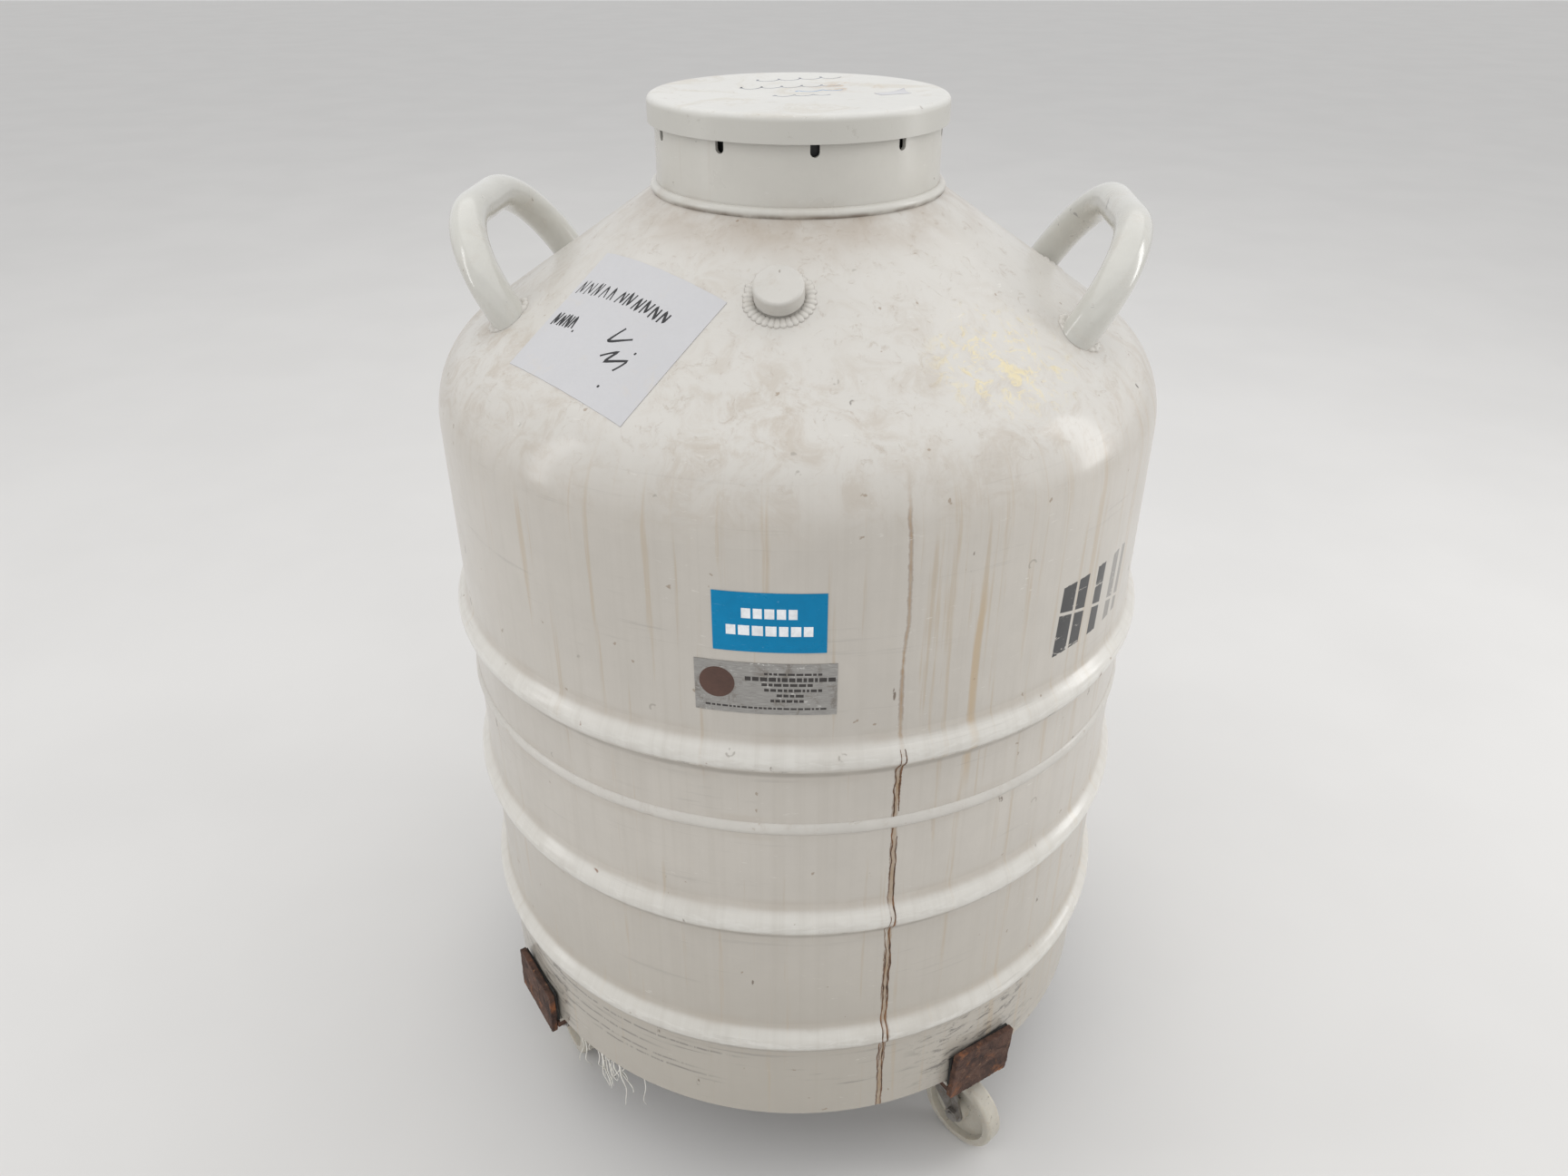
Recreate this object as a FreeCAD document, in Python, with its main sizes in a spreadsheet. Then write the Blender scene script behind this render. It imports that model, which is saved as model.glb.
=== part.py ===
import FreeCAD, Part
import math
import os
from types import SimpleNamespace

import Sketcher

# Liquid nitrogen dewar standing on a four-caster trolley.
#
# Frame: +Z up, origin on the floor under the vessel's axis, the front of the vessel faces -Y, millimetres.
# Azimuths are measured round +Z from the front (-Y), positive towards +X.
# Heights called "level" are measured from the bottom edge of the outer shell, which stands
# shell_lift above the floor.

Vector = FreeCAD.Vector
Rotation = FreeCAD.Rotation
Placement = FreeCAD.Placement

DRIVING_DIMENSIONS = {
    # Clearances used throughout.
    "fit_gap": 0.1,
    "joint_gap": 0.3,
    "pin_gap": 0.02,
    "cut_margin": 5,
    # Outer shell: wall, three swaged ribs, rounded shoulder and cone.
    "shell_lift": 108,
    "shell_radius": 279.5,
    "shell_wall": 3,
    "wall_top_level": 539.2,
    "shoulder_radius": 72.5,
    "cone_slope": 33.98,
    "cone_hole_radius": 100.5,
    "seam_level": 317,
    "rim_round": 2.4,
    "rib_height": 8.5,
    "rib_sweep": 50,
    "rib_top_level": 379.8,
    "rib_middle_level": 226.1,
    "rib_low_level": 96.1,
    "bottom_head_level": 66,
    "bottom_head_knuckle": 22,
    "bottom_head_flange": 14,
    # Neck collar with its canister notches, and the neck tube bonded into it.
    "collar_radius": 103.5,
    "collar_wall": 3,
    "collar_top_level": 756.7,
    "collar_foot_radius": 107.3,
    "collar_bead_height": 6.5,
    "collar_ledge_top_level": 728,
    "collar_ledge_depth": 16,
    "notch_count": 10,
    "notch_width": 6.3,
    "notch_bottom_level": 732,
    "notch_turn": 5.4,
    "collar_bead_round": 3.9,
    "collar_ledge_taper": 4,
    "neck_tube_recess": 1,
    "neck_tube_radius": 94.6,
    "neck_tube_wall": 2.6,
    "neck_tube_bottom_level": 572,
    # Inner vessel, wrap and adsorbent.
    "inner_radius": 248,
    "inner_wall": 2,
    "inner_floor_level": 128,
    "inner_knuckle": 55,
    "inner_seam_level": 330,
    "inner_wall_top_level": 455,
    "inner_shoulder_radius": 60,
    "inner_spigot_radius": 97.2,
    "inner_spigot_height": 20,
    "wrap_neck_gap": 2,
    "wrap_gap": 3,
    "wrap_thickness": 15,
    "adsorbent_bottom_level": 614,
    "adsorbent_height": 26,
    "adsorbent_thickness": 14,
    "spider_radius": 188,
    "spider_thickness": 2,
    "spider_pitch_radius": 146,
    "spider_hole_radius": 35,
    # Carrying handles: bent tube, with the plane of each bend leaning outwards.
    "handle_tube_radius": 13.35,
    "handle_tube_wall": 2,
    "handle_bend_radius": 68.8,
    "handle_left_flat": 45.8,
    "handle_right_flat": 58.6,
    "handle_rise": 61.1,
    "handle_splay": 3.4,
    "handle_leg": 45,
    "handle_base_radius": 206.3,
    "handle_lean": 32.8,
    "handle_left_azimuth": -94.7,
    "handle_right_azimuth": 86.2,
    "handle_weld_spread": 18.5,
    "handle_weld_height": 5,
    "seam_bead_gap": 0.05,
    "seam_bead_half_width": 5.2,
    "seam_bead_height": 2.3,
    # Evacuation port on the cone, with its push-on cap.
    "port_azimuth": -4.7,
    "port_base_radius": 161.5,
    "port_boss_radius": 13,
    "port_boss_bore": 9.5,
    "port_boss_inside": 12,
    "port_boss_outside": 10,
    "port_plug_radius": 9,
    "port_plug_recess": 1,
    "port_groove_margin": 0.15,
    "port_plug_groove_radius": 7.1,
    "port_plug_length": 14,
    "port_oring_section": 1.15,
    "port_cap_radius": 16.5,
    "port_cap_foot": 2.9,
    "port_cap_top": 14,
    "port_cap_round": 2.2,
    "port_cap_head_gap": 0.5,
    "port_cap_clearance": 0.06,
    "port_weld_root": 4,
    "port_weld_toe": 0.3,
    "port_weld_crown": 3,
    "port_weld_spread": 24,
    "port_weld_height": 2.5,
    # Lid cover, foam neck plug and the cup that holds it.
    "lid_radius": 108.2,
    "lid_top_level": 758.6,
    "lid_skirt_level": 740.7,
    "lid_sheet": 1.6,
    "lid_round": 4.5,
    "holder_radius": 97.5,
    "holder_wall": 2.2,
    "holder_bottom_level": 730,
    "holder_plate": 4,
    "plug_radius": 90,
    "plug_bottom_level": 592,
    "plug_round": 8,
    # Labels.
    "label_thickness": 0.3,
    "label_stand_off": 0.08,
    "blue_label_azimuth": -4,
    "blue_label_span": 14.92,
    "blue_label_bottom_level": 465.6,
    "blue_label_height": 43.6,
    "foil_label_azimuth": -4.6,
    "foil_label_span": 19.1,
    "foil_label_bottom_level": 417,
    "foil_label_height": 40,
    "note_cutter_height": 200,
    "note_layer_radius": 140,
    # Trolley: crossed bars, lugs, pads and liners.
    "arm_azimuth": 34,
    "bar_width": 64,
    "bar_thickness": 6,
    "bar_top_height": 104.4,
    "lug_inner_distance": 282,
    "lug_thickness": 6,
    "lug_width": 66,
    "lug_height": 50.6,
    "lug_drop": 4,
    "lug_roll": 5,
    "lug_corner_round": 3,
    "bead_radius": 3,
    "lug_bead_length": 56,
    "cross_bead_length": 60,
    "pad_length": 7.4,
    "pad_thickness": 3.2,
    "liner_thickness": 2.2,
    "liner_height": 34,
    # Swivel casters.
    "caster_radius": 246,
    "caster_trail": 22,
    "plate_side": 56,
    "plate_thickness": 2.5,
    "plate_hole_offset": 20,
    "bolt_radius": 3,
    "bolt_hole_radius": 3.3,
    "bolt_head_radius": 5.7,
    "bolt_head_height": 4,
    "bolt_length": 15,
    "nut_height": 5,
    "cup_radius": 22,
    "cup_depth": 5.5,
    "cup_lip": 2.5,
    "cup_overlap": 1,
    "cup_lip_depth": 9.4,
    "ball_count": 10,
    "ball_radius": 2.5,
    "ball_pitch_radius": 16,
    "kingpin_radius": 5,
    "kingpin_chamfer": 1,
    "kingpin_head_radius": 9,
    "kingpin_head_height": 2.8,
    "running_clearance": 0.05,
    "crown_radius": 24,
    "crown_thickness": 2.5,
    "crown_top_height": 85,
    "fork_root_back": 17,
    "fork_root_front": 20,
    "fork_root_height": 10,
    "fork_root_overlap": 1,
    "fork_gap": 21,
    "fork_leg_thickness": 2.5,
    "fork_foot_radius": 9,
    "wheel_radius": 37.5,
    "wheel_width": 17,
    "wheel_hub_width": 20,
    "wheel_hub_radius": 9.5,
    "wheel_web": 5,
    "wheel_rim_radius": 30,
    "wheel_web_taper": 1,
    "wheel_edge_round": 3,
    "axle_radius": 4,
    "axle_head_radius": 7,
    "axle_end_length": 1,
    "axle_head_height": 3.5,
}

# Outline of the paper note on the cone as (azimuth, radius) corners.
NOTE_CORNERS = ((-60.8, 152.8), (-16.3, 166.5), (-26.2, 251.5), (-55.2, 238.8))
NOTE_EDGE_STEPS = 5
# Where each caster's wheel trails from its swivel, as an azimuth, in the order of the arms.
CASTER_HEADINGS = (43, -150, 100, -120)

doc = FreeCAD.newDocument("LiquidNitrogenDewar")
exported = []


class Size:
    """A dimension that keeps both its number and the spreadsheet expression it comes from."""

    def __init__(self, number, text):
        self.number = number
        self.text = text

    def __add__(self, other):
        other = as_size(other)
        return Size(self.number + other.number, f"({self.text} + {other.text})")

    __radd__ = __add__

    def __sub__(self, other):
        other = as_size(other)
        return Size(self.number - other.number, f"({self.text} - {other.text})")

    def __rsub__(self, other):
        return as_size(other) - self

    def __mul__(self, other):
        other = as_size(other)
        return Size(self.number * other.number, f"({self.text} * {other.text})")

    __rmul__ = __mul__

    def __truediv__(self, other):
        other = as_size(other)
        return Size(self.number / other.number, f"({self.text} / {other.text})")

    def __neg__(self):
        return Size(-self.number, f"(0 - {self.text})")


def as_size(value):
    return value if isinstance(value, Size) else Size(float(value), f"{float(value):.6f}")


def sin_of(angle):
    return Size(math.sin(math.radians(angle.number)), f"sin({angle.text} * 1 deg)")


def cos_of(angle):
    return Size(math.cos(math.radians(angle.number)), f"cos({angle.text} * 1 deg)")


def tan_of(angle):
    return Size(math.tan(math.radians(angle.number)), f"tan({angle.text} * 1 deg)")


def build_sheet():
    """Put every driving dimension in the spreadsheet and hand it back as named sizes."""
    sheet = doc.addObject("Spreadsheet::Sheet", "Dims")
    for row, (alias, value) in enumerate(DRIVING_DIMENSIONS.items(), start=1):
        sheet.set(f"A{row}", alias)
        sheet.set(f"B{row}", str(value))
        sheet.setAlias(f"B{row}", alias)
    doc.recompute()
    sizes = {alias: Size(float(sheet.get(alias)), f"Dims.{alias}") for alias in DRIVING_DIMENSIONS}
    return SimpleNamespace(**sizes)


d = build_sheet()


# ---------------------------------------------------------------------------------------------
# Helpers: bodies, sketches and features bound to the spreadsheet
# ---------------------------------------------------------------------------------------------


def bind(feature, prop, size):
    """Bind one property of a feature to a size's expression."""
    feature.setExpression(prop, as_size(size).text)


def new_body(label):
    body = doc.addObject("PartDesign::Body", label)
    body.Label = label
    return body


def origin_part(body, role):
    return next(part for part in body.Origin.OriginFeatures if part.Role == role)


def new_sketch(body, role="XZ_Plane", offset=None):
    sketch = body.newObject("Sketcher::SketchObject", "Sketch")
    sketch.AttachmentSupport = [(origin_part(body, role), "")]
    sketch.MapMode = "FlatFace"
    if offset is not None:
        sketch.AttachmentOffset = Placement(Vector(0, 0, offset.number), Rotation())
        bind(sketch, "AttachmentOffset.Base.z", offset)
    return sketch


def bound_constraint(sketch, kind, *args):
    """Add a dimensional constraint whose last argument is a size, and bind it."""
    size = as_size(args[-1])
    index = sketch.addConstraint(Sketcher.Constraint(kind, *args[:-1], size.number))
    sketch.setExpression(f"Constraints[{index}]", size.text)


def arc_between(start, end, radius, side):
    """The minor arc from start to end whose centre lies on the given side of the way there."""
    chord = end - start
    middle = (start + end) * 0.5
    rise = math.sqrt(max(radius**2 - chord.Length**2 / 4, 0))
    across = Vector(-chord.y, chord.x, 0) / chord.Length
    centre = middle + across * (rise if side == "left" else -rise)
    first, last = (start, end) if side == "left" else (end, start)
    angles = [math.atan2(point.y - centre.y, point.x - centre.x) for point in (first, last)]
    if angles[1] <= angles[0]:
        angles[1] += 2 * math.pi
    return Part.ArcOfCircle(Part.Circle(centre, Vector(0, 0, 1), radius), *angles)


def constrain_arc(sketch, edge, start, end):
    """Fix an arc between two placed ends by its radius, or a level half circle by its centre."""
    radius = as_size(start[2])
    if start[1].number == end[1].number and abs(end[0].number - start[0].number) >= 2 * radius.number - 1e-6:
        bound_constraint(sketch, "DistanceY", -1, 1, edge, 3, start[1])
    else:
        bound_constraint(sketch, "Radius", edge, radius)


def draw_outline(sketch, vertices, closed=True):
    """Draw a fully constrained outline.

    Each vertex is (x, y), or (x, y, radius, side) when the edge that leaves it is an arc with its centre
    on that side, "left" or "right", of the direction of travel.
    """
    vertices = [(as_size(v[0]), as_size(v[1]), *v[2:]) for v in vertices]
    points = [Vector(v[0].number, v[1].number, 0) for v in vertices]
    count = len(vertices) if closed else len(vertices) - 1
    ends = []
    for i in range(count):
        start, end = points[i], points[(i + 1) % len(points)]
        if len(vertices[i]) == 2:
            edge = sketch.addGeometry(Part.LineSegment(start, end))
            ends.append((edge, 1, 2))
            continue
        radius, side = as_size(vertices[i][2]), vertices[i][3]
        edge = sketch.addGeometry(arc_between(start, end, radius.number, side))
        ends.append((edge, 1, 2) if side == "left" else (edge, 2, 1))
    for i, (edge, first, _) in enumerate(ends):
        if i or closed:
            before = ends[i - 1]
            sketch.addConstraint(Sketcher.Constraint("Coincident", before[0], before[2], edge, first))
        bound_constraint(sketch, "DistanceX", -1, 1, edge, first, vertices[i][0])
        bound_constraint(sketch, "DistanceY", -1, 1, edge, first, vertices[i][1])
        if len(vertices[i]) > 2:
            constrain_arc(sketch, edge, vertices[i], vertices[(i + 1) % len(vertices)])
    if not closed:
        edge, _, last = ends[-1]
        bound_constraint(sketch, "DistanceX", -1, 1, edge, last, vertices[-1][0])
        bound_constraint(sketch, "DistanceY", -1, 1, edge, last, vertices[-1][1])
    return sketch


def draw_circle(sketch, radius, x=0, y=0):
    x, y, radius = as_size(x), as_size(y), as_size(radius)
    circle = Part.Circle(Vector(x.number, y.number, 0), Vector(0, 0, 1), radius.number)
    edge = sketch.addGeometry(circle)
    bound_constraint(sketch, "DistanceX", -1, 1, edge, 3, x)
    bound_constraint(sketch, "DistanceY", -1, 1, edge, 3, y)
    bound_constraint(sketch, "Radius", edge, radius)
    return sketch


def draw_rectangle(sketch, x_low, x_high, y_low, y_high):
    return draw_outline(sketch, [(x_low, y_low), (x_high, y_low), (x_high, y_high), (x_low, y_high)])


def draw_hexagon(sketch, radius):
    corners = [(radius * math.cos(math.pi * k / 3), radius * math.sin(math.pi * k / 3)) for k in range(6)]
    return draw_outline(sketch, corners)


def revolve(body, outline, span=None):
    """Revolve an outline in the body's XZ plane about Z, whole or symmetrically over a span."""
    sketch = draw_outline(new_sketch(body), outline)
    feature = body.newObject("PartDesign::Revolution", "Revolution")
    feature.Profile = sketch
    feature.ReferenceAxis = (sketch, ["V_Axis"])
    feature.Angle = 360
    if span is not None:
        feature.Midplane = True
        bind(feature, "Angle", span)
    body.Tip = feature
    return feature


def pad(body, sketch, length, symmetric=False):
    feature = body.newObject("PartDesign::Pad", "Pad")
    feature.Profile = sketch
    bind(feature, "Length", length)
    if symmetric:
        feature.SideType = "Symmetric"
    body.Tip = feature
    return feature


def pocket(body, sketch, length, symmetric=False, reverse=False):
    feature = body.newObject("PartDesign::Pocket", "Pocket")
    feature.Profile = sketch
    bind(feature, "Length", length)
    feature.Reversed = reverse
    if symmetric:
        feature.SideType = "Symmetric"
    body.Tip = feature
    return feature


def polar_pattern(body, feature, count):
    pattern = body.newObject("PartDesign::PolarPattern", "PolarPattern")
    pattern.Originals = [feature]
    pattern.Axis = (origin_part(body, "Z_Axis"), [""])
    pattern.Angle = 360
    bind(pattern, "Occurrences", count)
    body.Tip = pattern
    return pattern


def cut(label, base, tool):
    result = doc.addObject("Part::Cut", label)
    result.Label = label
    result.Base = base
    result.Tool = tool
    return result


def group(label, members):
    """One node made of several separate solids."""
    result = doc.addObject("Part::Compound", label)
    result.Label = label
    result.Links = members
    return result


def export(*nodes):
    exported.extend(nodes)


def turn_about_z(azimuth):
    """Turn a local +X to an azimuth."""
    return Rotation(Vector(0, 0, 1), azimuth - 90)


def polar_xy(radius, azimuth):
    angle = math.radians(azimuth)
    return radius * math.sin(angle), -radius * math.cos(angle)


def radial_point(azimuth, radius, height=0):
    return Vector(*polar_xy(radius, azimuth), height)


def lift_vessel(body, turn=0):
    """Stand a part modelled from the shell's bottom edge at its height over the floor."""
    body.Placement = Placement(Vector(0, 0, d.shell_lift.number), Rotation(Vector(0, 0, 1), turn))
    bind(body, "Placement.Base.z", d.shell_lift)


# ---------------------------------------------------------------------------------------------
# Outer shell
# ---------------------------------------------------------------------------------------------

wall_inner = d.shell_radius - d.shell_wall
shoulder_centre = d.shell_radius - d.shoulder_radius
rib_arc = d.rib_height / (2 - 2 * cos_of(d.rib_sweep))
rib_half = 2 * rib_arc * sin_of(d.rib_sweep)


def cone_level(radius, offset=0):
    """Level of a cone parallel to the shell's outer cone, offset outwards along its normal."""
    reach = d.shoulder_radius + offset
    start = d.wall_top_level + reach * cos_of(d.cone_slope)
    return start + (shoulder_centre + reach * sin_of(d.cone_slope) - radius) * tan_of(d.cone_slope)


def shoulder_vertices(offset, end_radius):
    """Wall top, shoulder arc and cone of a surface offset from the shell's outer one, going up."""
    reach = d.shoulder_radius + offset
    shoulder_end = (
        shoulder_centre + reach * sin_of(d.cone_slope),
        d.wall_top_level + reach * cos_of(d.cone_slope),
    )
    return [
        (d.shell_radius + offset, d.wall_top_level, reach, "left"),
        shoulder_end,
        (end_radius, cone_level(end_radius, offset)),
    ]


def rib_vertices(level, offset, upwards):
    """Arcs of one swaged rib on a surface offset from the outer wall: hollow, crown, hollow."""
    radius = d.shell_radius + offset
    crown, hollow = rib_arc + offset, rib_arc - offset
    turn_radius = radius + d.rib_height / 2 - offset + offset * cos_of(d.rib_sweep)
    turn_offset = rib_half / 2 + offset * sin_of(d.rib_sweep)
    if upwards:
        return [
            (radius, level - rib_half, hollow, "right"),
            (turn_radius, level - turn_offset, crown, "left"),
            (turn_radius, level + turn_offset, hollow, "right"),
            (radius, level + rib_half),
        ]
    return [
        (radius, level + rib_half, hollow, "left"),
        (turn_radius, level + turn_offset, crown, "right"),
        (turn_radius, level - turn_offset, hollow, "left"),
        (radius, level - rib_half),
    ]


def shell_envelope():
    """Solid form just outside the shell, which trims what is welded on it. It isn't exported."""
    body = new_body("shell_envelope")
    skin = d.fit_gap
    revolve(
        body,
        [(0, 0), (d.shell_radius + skin, 0), *shoulder_vertices(skin, as_size(0))],
    )
    lift_vessel(body)
    return body


def outer_shell_top():
    """Upper wall with the top rib, shoulder and cone, open at the neck and at the port."""
    blank = new_body("outer_shell_top_blank")
    wall = d.shell_wall
    inner = shoulder_vertices(-wall, d.cone_hole_radius)
    inner_shoulder_radius = d.shoulder_radius - wall
    revolve(
        blank,
        [
            (wall_inner, d.seam_level),
            (d.shell_radius, d.seam_level),
            *rib_vertices(d.rib_top_level, 0, upwards=True),
            *shoulder_vertices(0, d.cone_hole_radius),
            inner[2],
            (inner[1][0], inner[1][1], inner_shoulder_radius, "right"),
            (inner[0][0], inner[0][1]),
            *rib_vertices(d.rib_top_level, -wall, upwards=False),
        ],
    )
    lift_vessel(blank)
    hole = doc.addObject("Part::Cylinder", "port_hole")
    bind(hole, "Radius", d.port_boss_radius + d.fit_gap)
    bind(hole, "Height", 4 * d.shell_wall)
    place_on_port(hole, -2 * d.shell_wall)
    return cut("outer_shell_top", blank, hole)


def outer_shell_base():
    """Lower wall with two ribs, and the skirt down to the rounded bottom edge."""
    body = new_body("outer_shell_base")
    wall = d.shell_wall
    top = d.seam_level - d.joint_gap
    revolve(
        body,
        [
            (wall_inner, 0),
            (d.shell_radius - d.rim_round, 0, d.rim_round, "left"),
            (d.shell_radius, d.rim_round),
            *rib_vertices(d.rib_low_level, 0, upwards=True),
            *rib_vertices(d.rib_middle_level, 0, upwards=True),
            (d.shell_radius, top),
            (wall_inner, top),
            *rib_vertices(d.rib_middle_level, -wall, upwards=False),
            *rib_vertices(d.rib_low_level, -wall, upwards=False),
        ],
    )
    lift_vessel(body)
    return body


def outer_bottom_head():
    """Dished plate welded inside the skirt, which closes the vacuum space."""
    body = new_body("outer_bottom_head")
    rim = wall_inner - d.fit_gap
    floor = d.bottom_head_level
    knuckle = d.bottom_head_knuckle
    wall = d.shell_wall
    flange_top = floor + knuckle + d.bottom_head_flange
    revolve(
        body,
        [
            (0, floor),
            (rim - knuckle, floor, knuckle, "left"),
            (rim, floor + knuckle),
            (rim, flange_top),
            (rim - wall, flange_top),
            (rim - wall, floor + knuckle, knuckle - wall, "right"),
            (rim - knuckle, floor + wall),
            (0, floor + wall),
        ],
    )
    lift_vessel(body)
    return body


# ---------------------------------------------------------------------------------------------
# Neck
# ---------------------------------------------------------------------------------------------


def neck_collar():
    """Ring on the cone with a bead at its foot, a bonding ledge inside and open notches in its rim."""
    body = new_body("neck_collar")
    gap = d.fit_gap
    inner = d.collar_radius - d.collar_wall
    ledge_inner = d.neck_tube_radius + gap
    foot_level = cone_level(d.collar_foot_radius, gap)
    ledge_bottom = d.collar_ledge_top_level - d.collar_ledge_depth
    revolve(
        body,
        [
            (inner, cone_level(inner, gap)),
            (d.collar_foot_radius, foot_level, d.collar_bead_round, "left"),
            (d.collar_radius, foot_level + d.collar_bead_height),
            (d.collar_radius, d.collar_top_level),
            (inner, d.collar_top_level),
            (inner, d.collar_ledge_top_level),
            (ledge_inner, d.collar_ledge_top_level),
            (ledge_inner, ledge_bottom),
            (inner, ledge_bottom - d.collar_ledge_taper),
        ],
    )
    half = d.notch_width / 2
    notch = new_sketch(body)
    above_rim = d.collar_top_level + d.cut_margin
    draw_outline(
        notch,
        [
            (-half, d.notch_bottom_level + half, half, "left"),
            (half, d.notch_bottom_level + half),
            (half, above_rim),
            (-half, above_rim),
        ],
    )
    front_notch = pocket(body, notch, d.collar_radius + d.cut_margin, reverse=True)
    polar_pattern(body, front_notch, d.notch_count)
    lift_vessel(body, d.notch_turn.number)
    return body


def neck_tube():
    """Thin low-conduction tube between the collar and the inner vessel's spigot."""
    body = new_body("neck_tube")
    inner = d.neck_tube_radius - d.neck_tube_wall
    bottom = d.neck_tube_bottom_level
    top = d.collar_ledge_top_level - d.neck_tube_recess
    revolve(body, [(inner, bottom), (d.neck_tube_radius, bottom), (d.neck_tube_radius, top), (inner, top)])
    lift_vessel(body)
    return body


# ---------------------------------------------------------------------------------------------
# Inner vessel and what fills the vacuum space
# ---------------------------------------------------------------------------------------------

inner_shoulder_centre = d.inner_radius - d.inner_shoulder_radius


def inner_cone_level(radius, offset=0):
    reach = d.inner_shoulder_radius + offset
    start = d.inner_wall_top_level + reach * cos_of(d.cone_slope)
    return start + (inner_shoulder_centre + reach * sin_of(d.cone_slope) - radius) * tan_of(d.cone_slope)


def inner_shoulder_end(offset):
    reach = d.inner_shoulder_radius + offset
    return (
        inner_shoulder_centre + reach * sin_of(d.cone_slope),
        d.inner_wall_top_level + reach * cos_of(d.cone_slope),
    )


def inner_vessel_top():
    """Upper wall, shoulder, cone and spigot of the inner vessel."""
    body = new_body("inner_vessel_top")
    wall = d.inner_wall
    spigot_bore = d.neck_tube_radius + d.fit_gap
    spigot_top = inner_cone_level(d.inner_spigot_radius) + d.inner_spigot_height
    outer_end = inner_shoulder_end(0)
    inner_end = inner_shoulder_end(-wall)
    shoulder = d.inner_shoulder_radius
    revolve(
        body,
        [
            (d.inner_radius - wall, d.inner_seam_level + d.joint_gap),
            (d.inner_radius, d.inner_seam_level + d.joint_gap),
            (d.inner_radius, d.inner_wall_top_level, shoulder, "left"),
            outer_end,
            (d.inner_spigot_radius, inner_cone_level(d.inner_spigot_radius)),
            (d.inner_spigot_radius, spigot_top),
            (spigot_bore, spigot_top),
            (spigot_bore, inner_cone_level(spigot_bore, -wall)),
            (inner_end[0], inner_end[1], shoulder - wall, "right"),
            (d.inner_radius - wall, d.inner_wall_top_level),
        ],
    )
    lift_vessel(body)
    return body


def inner_vessel_base():
    """Lower wall and dished floor of the inner vessel."""
    body = new_body("inner_vessel_base")
    wall = d.inner_wall
    floor = d.inner_floor_level
    knuckle = d.inner_knuckle
    revolve(
        body,
        [
            (0, floor),
            (d.inner_radius - knuckle, floor, knuckle, "left"),
            (d.inner_radius, floor + knuckle),
            (d.inner_radius, d.inner_seam_level),
            (d.inner_radius - wall, d.inner_seam_level),
            (d.inner_radius - wall, floor + knuckle, knuckle - wall, "right"),
            (d.inner_radius - knuckle, floor + wall),
            (0, floor + wall),
        ],
    )
    lift_vessel(body)
    return body


def insulation_blanket():
    """Multilayer wrap round the inner vessel, open at the neck."""
    body = new_body("insulation_blanket")
    near = d.wrap_gap
    far = d.wrap_gap + d.wrap_thickness
    floor = d.inner_floor_level
    knuckle = d.inner_knuckle
    flat = d.inner_radius - knuckle
    shoulder = d.inner_shoulder_radius
    neck = d.inner_spigot_radius + d.wrap_neck_gap
    near_end = inner_shoulder_end(near)
    far_end = inner_shoulder_end(far)
    revolve(
        body,
        [
            (0, floor - far),
            (flat, floor - far, knuckle + far, "left"),
            (d.inner_radius + far, floor + knuckle),
            (d.inner_radius + far, d.inner_wall_top_level, shoulder + far, "left"),
            far_end,
            (neck, inner_cone_level(neck, far)),
            (neck, inner_cone_level(neck, near)),
            (near_end[0], near_end[1], shoulder + near, "right"),
            (d.inner_radius + near, d.inner_wall_top_level),
            (d.inner_radius + near, floor + knuckle, knuckle + near, "right"),
            (flat, floor - near),
            (0, floor - near),
        ],
    )
    lift_vessel(body)
    return body


def adsorbent_pouch():
    """Ring of molecular sieve in a pouch round the neck tube."""
    body = new_body("adsorbent_pouch")
    inner = d.neck_tube_radius + 1
    outer = inner + d.adsorbent_thickness
    bottom = d.adsorbent_bottom_level
    top = bottom + d.adsorbent_height
    half = d.adsorbent_thickness / 2
    revolve(
        body,
        [
            (inner, bottom + half, half, "left"),
            (outer, bottom + half),
            (outer, top - half, half, "left"),
            (inner, top - half),
        ],
    )
    lift_vessel(body)
    return body


def canister_spider():
    """Plate on the inner floor with one round hole for each canister."""
    body = new_body("canister_spider")
    level = d.inner_floor_level + d.inner_wall + d.joint_gap
    pad(body, draw_circle(new_sketch(body, "XY_Plane", level), d.spider_radius), d.spider_thickness)
    hole = draw_circle(new_sketch(body, "XY_Plane", level), d.spider_hole_radius, d.spider_pitch_radius)
    polar_pattern(body, pocket(body, hole, 2 * d.spider_thickness, reverse=True), d.notch_count)
    lift_vessel(body)
    return body


# ---------------------------------------------------------------------------------------------
# Handles and welds
# ---------------------------------------------------------------------------------------------


HALVINGS = 40
HANDLES = (
    ("handle_left", d.handle_left_azimuth.number, d.handle_left_flat),
    ("handle_right", d.handle_right_azimuth.number, d.handle_right_flat),
)


def handle_frame(azimuth):
    """Frame of a handle's bend: X along the handle, Z up its leaning plane, origin on the cone."""
    turn = Rotation(Vector(0, 0, 1), azimuth)
    lean = Rotation(Vector(1, 0, 0), d.handle_lean.number)
    level = cone_level(d.handle_base_radius).number + d.shell_lift.number
    return Placement(radial_point(azimuth, d.handle_base_radius.number, level), turn * lean)


def handle_path(flat):
    """Right half of the bend in its own plane: crown point, bend start, bend end, foot."""
    centre_x = flat / 2
    centre_z = d.handle_rise - d.handle_bend_radius
    end = (
        centre_x + d.handle_bend_radius * cos_of(d.handle_splay),
        centre_z + d.handle_bend_radius * sin_of(d.handle_splay),
    )
    foot = (end[0] + d.handle_leg * sin_of(d.handle_splay), end[1] - d.handle_leg * cos_of(d.handle_splay))
    return (0, d.handle_rise), (centre_x, d.handle_rise), end, foot


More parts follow.
